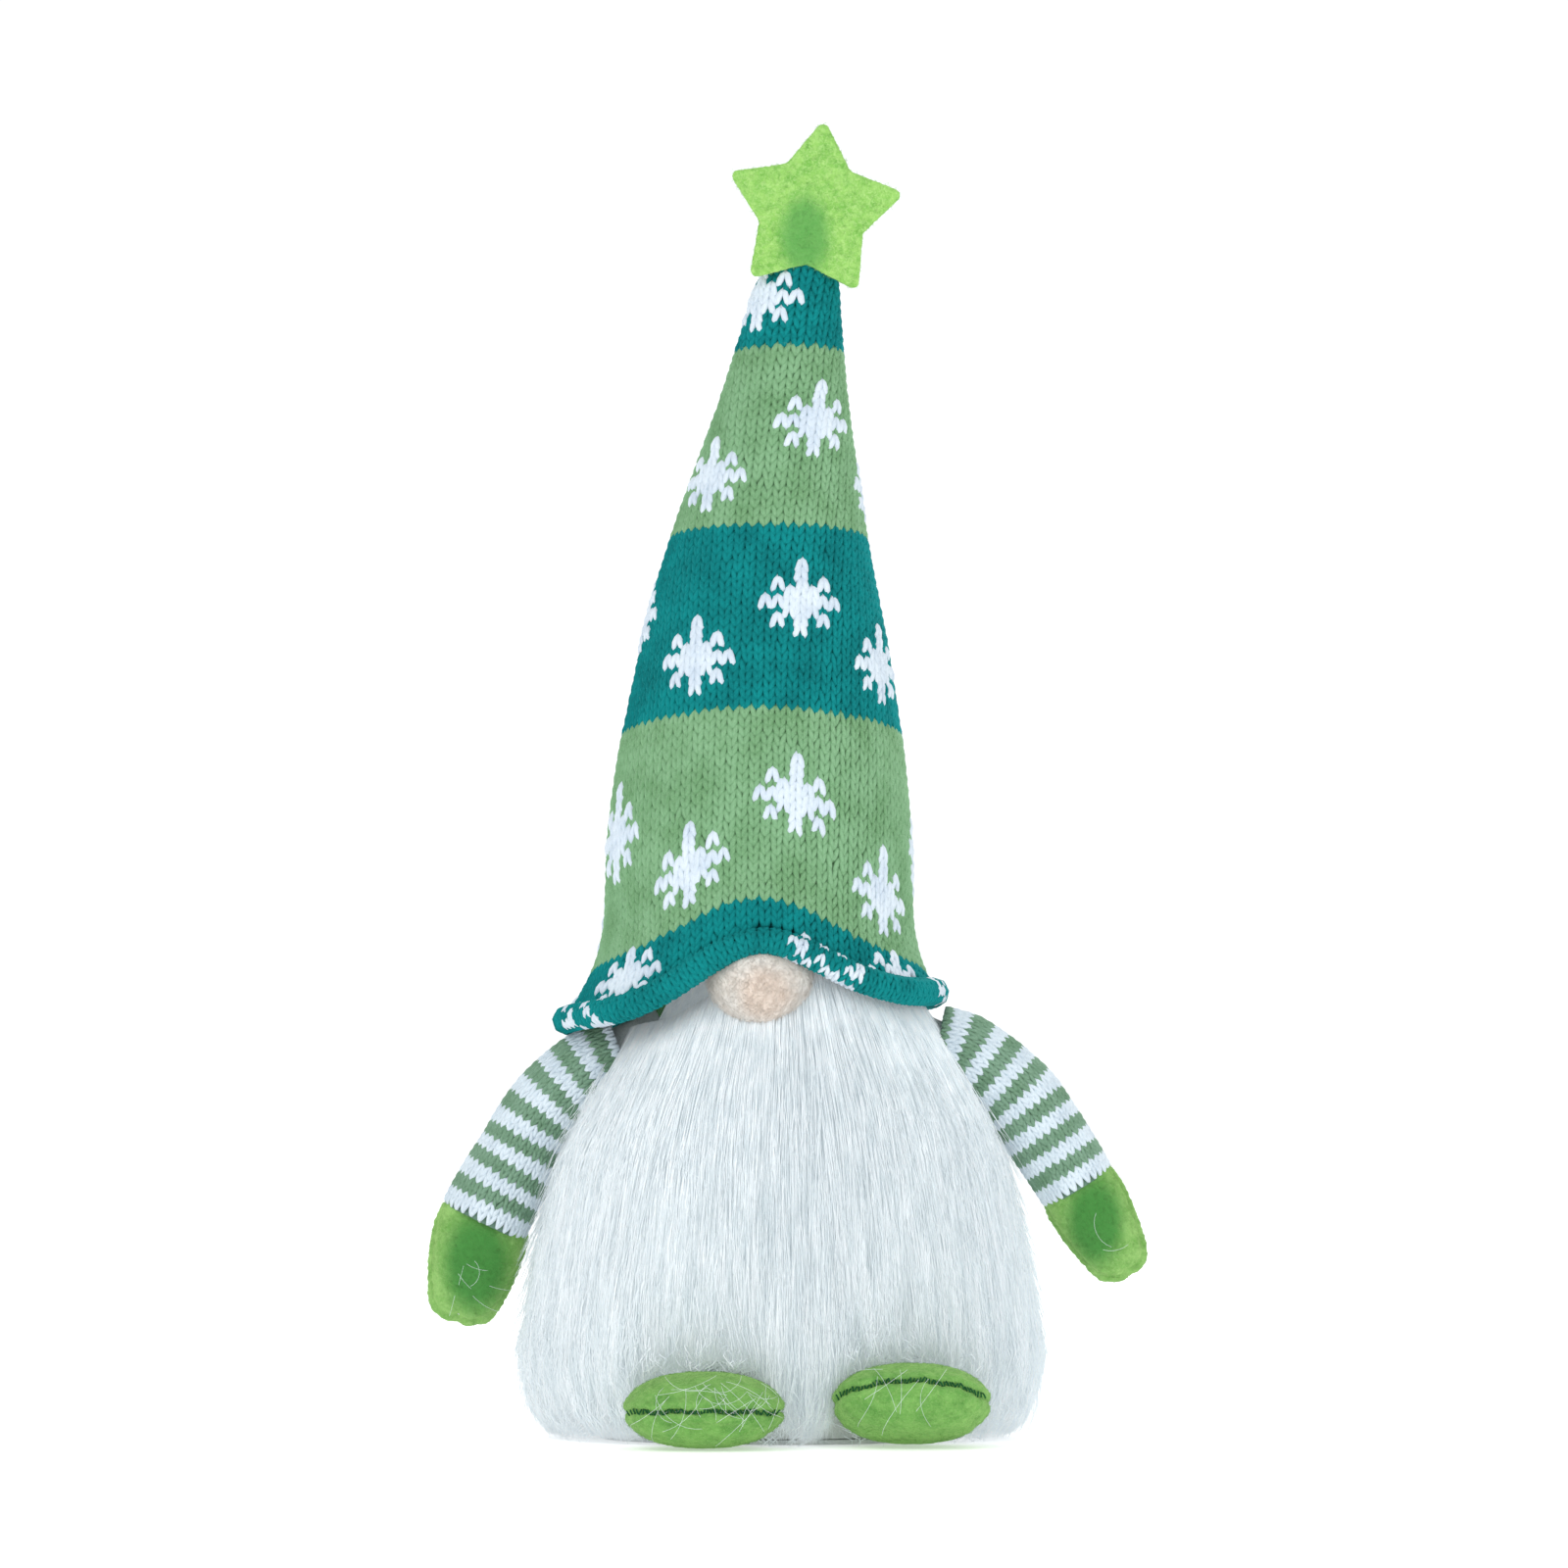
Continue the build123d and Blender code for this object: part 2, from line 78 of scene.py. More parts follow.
def rangeOf(nodes, links, value, low, high):
    ramp = nodes.new("ShaderNodeMapRange")
    ramp.inputs["From Min"].default_value = low
    ramp.inputs["From Max"].default_value = high
    links.new(value, ramp.inputs["Value"])
    return ramp.outputs["Result"]


def makeWoolGroup():
    white = (1.0, 1.0, 1.0, 1.0)
    group, into, out = newGroup(
        "woolFibres",
        [("Colour", "NodeSocketColor", white), ("Deep", "NodeSocketColor", white),
         ("Light", "NodeSocketColor", white), ("Patch Scale", "NodeSocketFloat", 120.0),
         ("Fibre Scale", "NodeSocketFloat", 1400.0), ("Stretch", "NodeSocketVector", (1.0, 1.0, 1.0)),
         ("Light Share", "NodeSocketFloat", 0.5)],
        [("Colour", "NodeSocketColor"), ("Height", "NodeSocketFloat")])
    nodes, links = group.nodes, group.links
    place = nodes.new("ShaderNodeTexCoord")
    scaled = nodes.new("ShaderNodeVectorMath")
    scaled.operation = "MULTIPLY"
    links.new(place.outputs["Object"], scaled.inputs[0])
    links.new(into.outputs["Stretch"], scaled.inputs[1])
    patches = nodes.new("ShaderNodeTexNoise")
    patches.inputs["Detail"].default_value = 3.0
    links.new(scaled.outputs["Vector"], patches.inputs["Vector"])
    links.new(into.outputs["Patch Scale"], patches.inputs["Scale"])
    fibres = nodes.new("ShaderNodeTexNoise")
    fibres.inputs["Detail"].default_value = 6.0
    fibres.inputs["Roughness"].default_value = 0.7
    fibres.inputs["Distortion"].default_value = 1.4
    links.new(scaled.outputs["Vector"], fibres.inputs["Vector"])
    links.new(into.outputs["Fibre Scale"], fibres.inputs["Scale"])
    patchMask = rangeOf(nodes, links, patches.outputs["Fac"], 0.34, 0.62)
    fibreMask = rangeOf(nodes, links, fibres.outputs["Fac"], 0.45, 0.72)
    share = nodes.new("ShaderNodeMath")
    share.operation = "MULTIPLY"
    links.new(fibreMask, share.inputs[0])
    links.new(into.outputs["Light Share"], share.inputs[1])
    toned = mixColours(nodes, links, patchMask, into.outputs["Deep"], into.outputs["Colour"])
    final = mixColours(nodes, links, share.outputs["Value"], toned, into.outputs["Light"])
    links.new(final, out.inputs["Colour"])
    links.new(fibres.outputs["Fac"], out.inputs["Height"])
    return group


def makeSpotGroup():
    white = (1.0, 1.0, 1.0, 1.0)
    group, into, out = newGroup(
        "softSpot",
        [("Colour", "NodeSocketColor", white), ("Spot Colour", "NodeSocketColor", white),
         ("Middle", "NodeSocketVector", (0.0, 0.0, 0.0)), ("Reach", "NodeSocketVector", (0.01, 0.01, 0.01)),
         ("Share", "NodeSocketFloat", 1.0)],
        [("Colour", "NodeSocketColor")])
    nodes, links = group.nodes, group.links
    place = nodes.new("ShaderNodeTexCoord")
    ways = []
    for operation, second in (("SUBTRACT", into.outputs["Middle"]), ("DIVIDE", into.outputs["Reach"])):
        step = nodes.new("ShaderNodeVectorMath")
        step.operation = operation
        links.new(ways[-1] if ways else place.outputs["Object"], step.inputs[0])
        links.new(second, step.inputs[1])
        ways.append(step.outputs["Vector"])
    far = nodes.new("ShaderNodeVectorMath")
    far.operation = "LENGTH"
    links.new(ways[-1], far.inputs[0])
    cloud = nodes.new("ShaderNodeTexNoise")
    cloud.inputs["Scale"].default_value = 260.0
    uneven = nodes.new("ShaderNodeMath")
    uneven.operation = "MULTIPLY_ADD"
    uneven.inputs[1].default_value = 0.5
    links.new(cloud.outputs["Fac"], uneven.inputs[0])
    links.new(far.outputs["Value"], uneven.inputs[2])
    near = nodes.new("ShaderNodeMapRange")
    near.interpolation_type = "SMOOTHSTEP"
    near.inputs["From Min"].default_value = 1.5
    near.inputs["From Max"].default_value = 0.8
    links.new(uneven.outputs["Value"], near.inputs["Value"])
    share = nodes.new("ShaderNodeMath")
    share.operation = "MULTIPLY"
    links.new(near.outputs["Result"], share.inputs[0])
    links.new(into.outputs["Share"], share.inputs[1])
    links.new(mixColours(nodes, links, share.outputs["Value"], into.outputs["Colour"], into.outputs["Spot Colour"]),
              out.inputs["Colour"])
    return group


woolGroup = makeWoolGroup()
spotGroup = makeSpotGroup()


def wool(name, colour, deep, light, patch=120.0, fibre=1400.0, stretch=(1.0, 1.0, 1.0), lightShare=0.5,
         bump=0.3, bumpDepth=0.0004, roughness=0.92, sheen=0.35, sheenTint=None, through=0.0, glow=0.0,
         spot=None):
    made = bpy.data.materials.new(name)
    made.use_nodes = True
    nodes, links = made.node_tree.nodes, made.node_tree.links
    shader = nodes["Principled BSDF"]
    effect = nodes.new("ShaderNodeGroup")
    effect.node_tree = woolGroup
    effect.inputs["Colour"].default_value = paint(*colour)
    effect.inputs["Deep"].default_value = paint(*deep)
    effect.inputs["Light"].default_value = paint(*light)
    effect.inputs["Patch Scale"].default_value = patch
    effect.inputs["Fibre Scale"].default_value = fibre
    effect.inputs["Stretch"].default_value = stretch
    effect.inputs["Light Share"].default_value = lightShare
    raised = nodes.new("ShaderNodeBump")
    raised.inputs["Strength"].default_value = bump
    raised.inputs["Distance"].default_value = bumpDepth
    links.new(effect.outputs["Height"], raised.inputs["Height"])
    colourOut = effect.outputs["Colour"]
    # a spot is a soft darker or warmer patch: colour, middle, reach, share; on the star and the mittens it is painted
    # shade
    if spot:
        patchwork = nodes.new("ShaderNodeGroup")
        patchwork.node_tree = spotGroup
        patchwork.inputs["Spot Colour"].default_value = paint(*spot[0])
        patchwork.inputs["Middle"].default_value = tuple(value * mm for value in spot[1])
        patchwork.inputs["Reach"].default_value = tuple(value * mm for value in spot[2])
        patchwork.inputs["Share"].default_value = spot[3]
        links.new(colourOut, patchwork.inputs["Colour"])
        colourOut = patchwork.outputs["Colour"]
    links.new(colourOut, shader.inputs["Base Color"])
    # glow stands for light that finds its way through loose white hair
    if glow:
        links.new(colourOut, shader.inputs["Emission Color"])
        shader.inputs["Emission Strength"].default_value = glow
    links.new(raised.outputs["Normal"], shader.inputs["Normal"])
    shader.inputs["Roughness"].default_value = roughness
    shader.inputs["Specular IOR Level"].default_value = 0.15
    shader.inputs["Sheen Weight"].default_value = sheen
    shader.inputs["Sheen Roughness"].default_value = 0.45
    shader.inputs["Sheen Tint"].default_value = paint(*(sheenTint or light))
    if through:
        shader.inputs["Subsurface Weight"].default_value = through
        shader.inputs["Subsurface Radius"].default_value = (0.004, 0.004, 0.004)
        shader.inputs["Subsurface Scale"].default_value = 0.6
    return made


tealYarn = wool("tealYarn", (4, 130, 131), (0, 108, 110), (30, 160, 160), patch=90, fibre=1900, bump=0.5, sheen=0.45)
# the darker teal and sage backings are painted shade: the shade in the gaps between stitches
tealGapShade = wool("tealGapShade", (2, 84, 88), (0, 70, 74), (6, 98, 102), patch=90, fibre=1500)
sageYarn = wool("sageYarn", (128, 173, 130), (108, 154, 108), (166, 204, 164), patch=90, fibre=1900, bump=0.5,
                sheen=0.45)
sageGapShade = wool("sageGapShade", (82, 124, 82), (68, 108, 70), (100, 146, 100), patch=90, fibre=1500)
snowYarn = wool("snowYarn", (220, 231, 240), (200, 214, 228), (242, 248, 252), patch=110, fibre=1900, bump=0.5)
# the white sleeve yarn has a little glow too: painted light
sleeveWhite = wool("sleeveWhite", (214, 226, 234), (196, 210, 220), (240, 246, 250), patch=120, fibre=2000, bump=0.5,
                   glow=0.05)
sleeveSage = wool("sleeveSage", (122, 156, 132), (102, 138, 110), (160, 190, 164), patch=150, fibre=2000, bump=0.5)
# the darker sleeve backing is painted shade: the shade in the gaps between stitches
sleeveBack = wool("sleeveBack", (104, 134, 118), (86, 116, 98), (128, 156, 138), patch=120, fibre=1500)
# the star's dark spot is painted shade: the hat's tip seen as a shadow through the felt
starFelt = wool("starFelt", (152, 205, 104), (122, 184, 82), (194, 230, 150), patch=330, fibre=900, lightShare=0.75,
                bump=0.6, bumpDepth=0.0006, sheen=0.5, through=0.1,
                spot=((92, 162, 82), (7.5, -2.0, 377.0), (8.5, 30.0, 14.0), 0.85))
feltLook = {"patch": 190, "fibre": 1000, "bump": 0.6, "bumpDepth": 0.0006, "sheen": 0.5}
mittenFelt = {}
# each mitten's dark middle is painted shade, which leaves its rim looking lit
for side, middle, reach in (("left", (-95.6, -10.0, 54.5), (11.2, 18.0, 17.5)),
                            ("right", (98.6, -10.0, 68.0), (9.6, 18.0, 15.5))):
    mittenFelt[side] = wool("mittenFelt" + side.capitalize(), (140, 188, 104), (112, 166, 80), (180, 214, 140),
                            sheenTint=(200, 226, 150), spot=((66, 134, 62), middle, reach, 0.95), **feltLook)
shoeFelt = wool("shoeFelt", (118, 174, 88), (92, 152, 70), (170, 208, 126), sheenTint=(206, 228, 156), **feltLook)
noseFelt = wool("noseFelt", (240, 235, 228), (231, 222, 212), (248, 246, 243), patch=170, fibre=700, lightShare=0.6,
                bump=0.6, bumpDepth=0.0006, sheen=0.6, through=0.15,
                spot=((234, 213, 196), (-5.0, -54.0, 140.0), (9.0, 14.0, 9.5), 0.62))
beardFur = wool("beardFur", (236, 242, 245), (220, 229, 233), (252, 254, 255), patch=300, fibre=1100,
                stretch=(1.0, 1.0, 0.07), lightShare=0.5, bump=0.15, roughness=0.55, sheen=0.3, glow=0.15)
beardRoot = wool("beardRoot", (228, 236, 240), (212, 222, 227), (242, 247, 250), patch=300, fibre=900,
                 stretch=(1.0, 1.0, 0.05), lightShare=0.6, bump=0.6, bumpDepth=0.0015, sheen=0.3, glow=0.17)
plushWhite = wool("plushWhite", (232, 235, 234), (212, 218, 218), (246, 248, 247), patch=220, fibre=800,
                  bump=0.8, bumpDepth=0.001, sheen=0.5)
stuffingFluff = wool("stuffingFluff", (238, 240, 240), (218, 222, 224), (250, 250, 250), patch=90, fibre=500,
                     bump=0.8, bumpDepth=0.002)
cardBoard = wool("cardBoard", (196, 172, 136), (180, 154, 120), (214, 194, 160), patch=60, fibre=600,
                 stretch=(1.0, 0.15, 1.0), sheen=0.0)
pelletBeads = wool("pelletBeads", (224, 226, 224), (196, 200, 200), (246, 246, 244), patch=420, fibre=420, bump=1.0,
                   bumpDepth=0.003, roughness=0.5, sheen=0.0)
steelWire = wool("steelWire", (150, 152, 154), (120, 122, 124), (190, 192, 194), patch=300, fibre=900,
                 roughness=0.35, sheen=0.0, bump=0.1)
seamThread = wool("seamThread", (30, 92, 52), (22, 76, 42), (48, 112, 60), patch=400, fibre=2200, bump=0.6, sheen=0.0)
tieThread = wool("tieThread", (58, 120, 60), (44, 100, 48), (92, 150, 86), patch=400, fibre=2200, bump=0.6)


# mesh makers
def placeMesh(name, points, faceSets, materials, body=None, uvs=None, faceSlots=None):
    mesh = bpy.data.meshes.new(name)
    points = np.asarray(points, float)
    faceSets = [np.asarray(faces, np.int32) for faces in faceSets if len(faces)]
    corners = np.concatenate([faces.ravel() for faces in faceSets])
    sizes = np.concatenate([np.full(len(faces), faces.shape[1], np.int32) for faces in faceSets])
    starts = np.concatenate([[0], np.cumsum(sizes)[:-1]]).astype(np.int32)
    mesh.vertices.add(len(points))
    mesh.vertices.foreach_set("co", np.asarray(points, np.float32).ravel())
    mesh.loops.add(len(corners))
    mesh.loops.foreach_set("vertex_index", corners)
    mesh.polygons.add(len(sizes))
    mesh.polygons.foreach_set("loop_start", starts)
    mesh.polygons.foreach_set("use_smooth", np.ones(len(sizes), bool))
    if uvs is not None:
        mesh.uv_layers.new(name="OFBake").data.foreach_set("uv", np.asarray(uvs, np.float32).ravel())
    for material in materials:
        mesh.materials.append(material)
    if faceSlots is not None:
        mesh.polygons.foreach_set("material_index", np.asarray(faceSlots, np.int32))
    mesh.update(calc_edges=True)
    # faces look outward: the volume that they enclose is positive
    enclosed = 0.0
    for faces in faceSets:
        a, b, c = points[faces[:, 0]], points[faces[:, 1]], points[faces[:, 2]]
        enclosed += np.einsum("ij,ij->", a, np.cross(b, c))
        if faces.shape[1] == 4:
            enclosed += np.einsum("ij,ij->", a, np.cross(c, points[faces[:, 3]]))
    if enclosed < 0:
        mesh.flip_normals()
    made = bpy.data.objects.new(name, mesh)
    bpy.context.scene.collection.objects.link(made)
    if body:
        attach(made, body)
    return made


def unit(rows):
    return rows / np.maximum(np.linalg.norm(rows, axis=-1, keepdims=True), 1e-12)


# thin closed strands along many short paths at once: paths is (how many, points each, 3)
def strandMesh(paths, radii, sides, facing):
    count, steps, _ = paths.shape
    along = unit(np.gradient(paths, axis=1))
    across = unit(np.cross(along, facing))
    outward = np.cross(across, along)
    angles = 2 * math.pi * (np.arange(sides) + 0.5) / sides
    ring = np.cos(angles)[:, None] * across[:, :, None, :] + np.sin(angles)[:, None] * outward[:, :, None, :]
    rings = paths[:, :, None, :] + radii[:, :, None, None] * ring
    first = paths[:, :1] - along[:, :1] * radii[:, :1, None] * 0.6
    last = paths[:, -1:] + along[:, -1:] * radii[:, -1:, None] * 0.6
    points = np.concatenate([first, rings.reshape(count, steps * sides, 3), last], axis=1)
    perStrand = steps * sides + 2
    quads, triangles, quadMap, triangleMap = [], [], [], []
    level = [0.08 + 0.84 * step / (steps - 1) for step in range(steps)]
    for step in range(steps - 1):
        for side in range(sides):
            nextSide = (side + 1) % sides
            here, above = 1 + step * sides, 1 + (step + 1) * sides
            quads.append((here + side, here + nextSide, above + nextSide, above + side))
            quadMap.append(((side / sides, level[step]), ((side + 1) / sides, level[step]),
                            ((side + 1) / sides, level[step + 1]), (side / sides, level[step + 1])))
    for side in range(sides):
        nextSide = (side + 1) % sides
        top = 1 + (steps - 1) * sides
        triangles.append((0, 1 + nextSide, 1 + side))
        triangleMap.append((((side + 0.5) / sides, 0.0), ((side + 1) / sides, level[0]), (side / sides, level[0])))
        triangles.append((perStrand - 1, top + side, top + nextSide))
        triangleMap.append((((side + 0.5) / sides, 1.0), (side / sides, level[-1]), ((side + 1) / sides, level[-1])))
    shift = (np.arange(count) * perStrand)[:, None, None]
    allQuads = (np.array(quads)[None] + shift).reshape(-1, 4)
    allTriangles = (np.array(triangles)[None] + shift).reshape(-1, 3)
    grid = math.ceil(math.sqrt(count))
    cell = np.stack([np.arange(count) % grid, np.arange(count) // grid], axis=1)[:, None, :]
    quadPlaces = (cell + 0.06 + 0.88 * np.array(quadMap).reshape(1, -1, 2)) / grid
    trianglePlaces = (cell + 0.06 + 0.88 * np.array(triangleMap).reshape(1, -1, 2)) / grid
    uvs = np.concatenate([quadPlaces.reshape(-1, 2), trianglePlaces.reshape(-1, 2)])
    return points.reshape(-1, 3), [allQuads, allTriangles], uvs


def placeStrands(name, paths, radii, sides, facing, material, body=None):
    points, faceSets, uvs = strandMesh(paths, radii, sides, facing)
    made = placeMesh(name, points, faceSets, [material], body, uvs)
    return made


# a closed skin over a grid of points: rows run along, columns run round and close on themselves
def skinFaces(rows, columns):
    faces = []
    for row in range(rows - 1):
        for column in range(columns):
            nextColumn = (column + 1) % columns
            faces.append((row * columns + column, row * columns + nextColumn,
                          (row + 1) * columns + nextColumn, (row + 1) * columns + column))
    return faces


# the same skin with a point added at either end, and whether its faces are turned
def closedSkin(rows, columns, turned=False):
    first = rows * columns
    last = first - columns
    starts, ends = [], []
    for column in range(columns):
        after = (column + 1) % columns
        starts.append((first, column, after) if turned else (first, after, column))
        ends.append((first + 1, last + after, last + column) if turned else (first + 1, last + column, last + after))
    skin = skinFaces(rows, columns)
    return [[face[::-1] for face in skin] if turned else skin, starts + ends]


# faces that join the last ring of a skin to its first
def ringFaces(rows, columns):
    last = (rows - 1) * columns
    return [(last + column, last + (column + 1) % columns, (column + 1) % columns, column)
            for column in range(columns)]


def eased(values, width, mode, **more):
    weights = np.hanning(width) / np.hanning(width).sum()
    return np.convolve(np.pad(values, width // 2, mode=mode, **more), weights, mode="valid")


def settle(piece, body, slot, *nodes):
    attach(piece, body)
    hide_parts(*nodes)


def smoothStep(low, high, value):
    share = np.clip((value - low) / (high - low), 0, 1)
    return share * share * (3 - 2 * share)


# a stitch is two legs that meet at its top, in stitch widths, row heights and lift
stitchShape = {
    "across": (0.05, 0.16, 0.29, 0.40, 0.47),
    "down": (-0.92, -0.42, 0.06, 0.48, 0.86),
    "lift": (-0.30, 0.42, 0.62, 0.40, -0.28),
    "thick": (0.17, 0.26, 0.29, 0.27, 0.18),
}


def stitchPaths(centres, surface, width, height, thickness, stretch=1.0, extraLift=0.0):
    across = np.array(stitchShape["across"]) * width
    down = np.array(stitchShape["down"]) * height * stretch
    lift = np.array(stitchShape["lift"]) * thickness + extraLift
    legs, outs, radii = [], [], []
    jitter = rng.normal(0, 0.045, (len(centres), 4))
    for side in (-1, 1):
        u = centres[:, :1] + side * across[None] + jitter[:, :1] * width
        s = centres[:, 1:2] + down[None] + jitter[:, 1:2] * height
        path, outward = surface(u, s, lift[None] + jitter[:, 2:3] * thickness * 0.6)
        legs.append(path)
        outs.append(outward)
        radii.append(np.array(stitchShape["thick"])[None] * width * (1 + jitter[:, 3:4]))
    return np.concatenate(legs), np.concatenate(radii), np.concatenate(outs)


# stage
studio = {"eyeDistance": 9.0, "eyeLift": 1.2, "frameWidth": 0.4923, "aim": (0.0009, 0.0, 0.2052)}

floorSize = 4.0
floor = placeMesh("floor", np.array([(-floorSize, -floorSize, 0), (floorSize, -floorSize, 0),
                                     (floorSize, floorSize, 0), (-floorSize, floorSize, 0)]),
                  [[(0, 1, 2, 3)]], [])
floorPaint = bpy.data.materials.new("floorPaint")
floorPaint.use_nodes = True
floorShader = floorPaint.node_tree.nodes["Principled BSDF"]
floorShader.inputs["Base Color"].default_value = (0.93, 0.93, 0.93, 1)
floorShader.inputs["Roughness"].default_value = 0.9
floorShader.inputs["Emission Color"].default_value = (1, 1, 1, 1)
floorShader.inputs["Emission Strength"].default_value = 0.38
floor.data.materials.append(floorPaint)

eye = bpy.data.cameras.new("eye")
eye.lens = eye.sensor_width * studio["eyeDistance"] / studio["frameWidth"]
eye.clip_end = 60
eyeObject = bpy.data.objects.new("eye", eye)
bpy.context.scene.collection.objects.link(eyeObject)
lift = math.radians(studio["eyeLift"])
aim = Vector(studio["aim"])
eyeObject.location = aim + studio["eyeDistance"] * Vector((0, -math.cos(lift), math.sin(lift)))
eyeObject.rotation_euler = (math.radians(90) - lift, 0, 0)
bpy.context.scene.camera = eyeObject

lamps = {
    "key": {"place": (-0.9, -1.6, 1.5), "size": 1.4, "power": 16.0},
    "fill": {"place": (1.3, -1.3, 0.7), "size": 1.4, "power": 6.0},
    "back": {"place": (0.4, 1.4, 1.4), "size": 1.2, "power": 14.0},
}
for label, given in lamps.items():
    lamp = bpy.data.lights.new(label, "AREA")
    lamp.size = given["size"]
    lamp.energy = given["power"]
    lampObject = bpy.data.objects.new(label, lamp)
    bpy.context.scene.collection.objects.link(lampObject)
    lampObject.location = given["place"]
    lampObject.rotation_euler = (aim - Vector(given["place"])).to_track_quat("-Z", "Y").to_euler()

world = bpy.context.scene.world or bpy.data.worlds.new("studioAir")
bpy.context.scene.world = world
world.use_nodes = True
air, airLinks = world.node_tree.nodes, world.node_tree.links
air.clear()
seen = air.new("ShaderNodeLightPath")
glow = air.new("ShaderNodeBackground")
glow.inputs["Color"].default_value = (0.96, 0.985, 1.0, 1)
strength = air.new("ShaderNodeMapRange")
strength.inputs["To Min"].default_value = 0.72
strength.inputs["To Max"].default_value = 1.1
airLinks.new(seen.outputs["Is Camera Ray"], strength.inputs["Value"])
airLinks.new(strength.outputs["Result"], glow.inputs["Strength"])
airOut = air.new("ShaderNodeOutputWorld")
airLinks.new(glow.outputs["Background"], airOut.inputs["Surface"])
bpy.context.scene.view_settings.view_transform = "Standard"
print("stage ready")


# hat
hat = {
    "outline": [(112, 69, 62.5, -7), (118, 66, 60, -7), (131, 59.5, 56, -7), (141, 53.5, 52.5, -7),
                (150, 49.5, 50.5, -7), (160, 47.3, 49, -7), (172, 46.8, 47.5, -7), (186, 46.5, 46.5, -7),
                (200, 45.4, 45.4, -6.6), (215.7, 43.4, 43.4, -6.2), (233, 40.3, 40.3, -5.7), (251, 37, 37, -5.2),
                (270, 32.7, 32.7, -4.7), (288, 28.2, 28.2, -3.4), (307, 23.4, 23.4, -1.3), (325, 18.9, 18.3, 0.8),
                (343, 15.3, 13.4, 2.8), (359, 12.2, 8.6, 4.8), (373, 9, 5.8, 7), (383, 4.6, 4.2, 9.3),
                (392, 3.4, 3.4, 9.3)],
    "stitchWidth": 3.63, "rowHeight": 2.86, "yarnLift": 0.95,
    "rowDroop": 0.195,
    "noseLift": 15.0, "noseLiftFrom": 150.0, "noseLiftFull": 222.0, "noseLiftWidth": 0.62,
    "bandTops": (378, 343, 287, 230, 170.5), "brimRows": 30,
    "flake": ["...#...", "...#...", ".#.#.#.", "..###..", "#######", "..###..", ".#.#.#.", "...#..."],
    "flakeRepeat": {0: 18, 1: 18, 2: 18, 3: 18, 4: 25}, "snowThickness": 1.08,
    "flakes": {1: [(8, 3), (14, -6)], 2: [(8, 3), (14, -6)], 3: [(9, 3), (15, -6)], 4: [(3, -12), (7, 4)],
               0: [(7, -3)]},
    "hemFront": [(-48, 135), (-33, 143), (-20, 153), (-5.5, 158.5), (8, 153.5), (23, 145), (37, 140.5)],
    "hemBack": [(36, 136), (16, 130), (-8, 127), (-30, 127), (-50, 129)],
    "hemLeft": (-66.5, 130.5), "hemRight": (47, 139.5), "hemRadius": 3.2, "hemStand": 0.8, "wireRadius": 0.9,
    "bendAt": -6.5, "bendLow": 184.0, "bendHigh": 217.0, "hemStitch": 3.3,
}

outline = np.array(hat["outline"][::-1], float)
heights = np.linspace(outline[0, 0], outline[-1, 0], 900)
outlineTable = np.stack([np.interp(heights, outline[::-1, 0], outline[::-1, column]) for column in (1, 2, 3)], axis=1)
for column in range(3):
    outlineTable[:, column] = eased(outlineTable[:, column], 41, "edge")
steps = np.hypot(np.diff(heights), np.diff(outlineTable[:, 0]))
slant = np.concatenate([[0], np.cumsum(steps)])
slopes = -np.gradient(outlineTable[:, 0], heights)


def slantAt(height):
    return np.interp(-height, -heights, slant)


def meanReach(s):
    return np.interp(s, slant, outlineTable[:, :2].mean(axis=1))


# rows hang lower away from the front, and the nose lifts the low ones over itself
def rowLean(s, turn):
    lifted = hat["noseLift"] * smoothStep(hat["noseLiftFrom"], hat["noseLiftFull"], s)
    return s / np.cos(hat["rowDroop"] * turn) + lifted * (1 - np.exp(-(turn / hat["noseLiftWidth"]) ** 2))


rowTable = np.linspace(0, 300, 601)


def rowAt(rho, turn):
    rho, turn = np.broadcast_arrays(np.asarray(rho, float), np.asarray(turn, float))
    found = [np.interp(r, rowLean(rowTable, t), rowTable) for r, t in zip(rho.ravel(), turn.ravel())]
    return np.array(found).reshape(rho.shape)


def hatSurface(u, s, lift=0.0):
    u, s, lift = np.broadcast_arrays(np.asarray(u, float), np.asarray(s, float), np.asarray(lift, float))
    reach = meanReach(s)
    turn = np.clip(u / reach, -math.pi, math.pi)
    rho = rowLean(s, turn)
    z = np.interp(rho, slant, heights)
    wide, deep, shift = (np.interp(rho, slant, outlineTable[:, column]) for column in range(3))
    slope = np.interp(rho, slant, slopes)
    outward = unit(np.stack([np.sin(turn) * deep / wide, -np.cos(turn), slope], axis=-1))
    places = np.stack([shift + wide * np.sin(turn), -deep * np.cos(turn), z], axis=-1) + outward * lift[..., None]
    return places * mm, outward


def turnOf(x, z, side):
    wide = np.interp(-z, -heights, outlineTable[:, 0])
    shift = np.interp(-z, -heights, outlineTable[:, 2])
    angle = math.asin(max(-1, min(1, (x - shift) / wide)))
    return angle if side > 0 else (math.pi - angle if angle >= 0 else -math.pi - angle)


hemTurns = [(turnOf(x, z, 1), z) for x, z in hat["hemFront"]] + [(turnOf(x, z, -1), z) for x, z in hat["hemBack"]]
hemTurns += [(-math.pi / 2, hat["hemLeft"][1]), (math.pi / 2, hat["hemRight"][1])]
hemTurns = np.array(sorted(hemTurns))
hemAngles = np.linspace(-math.pi, math.pi, 721)[:-1]
wrapTurns = np.concatenate([hemTurns[:, 0] - 2 * math.pi, hemTurns[:, 0], hemTurns[:, 0] + 2 * math.pi])
wrapHeights = np.tile(hemTurns[:, 1], 3)
hemHeights = np.interp(hemAngles, wrapTurns, wrapHeights)
hemHeights = eased(hemHeights, 61, "wrap")


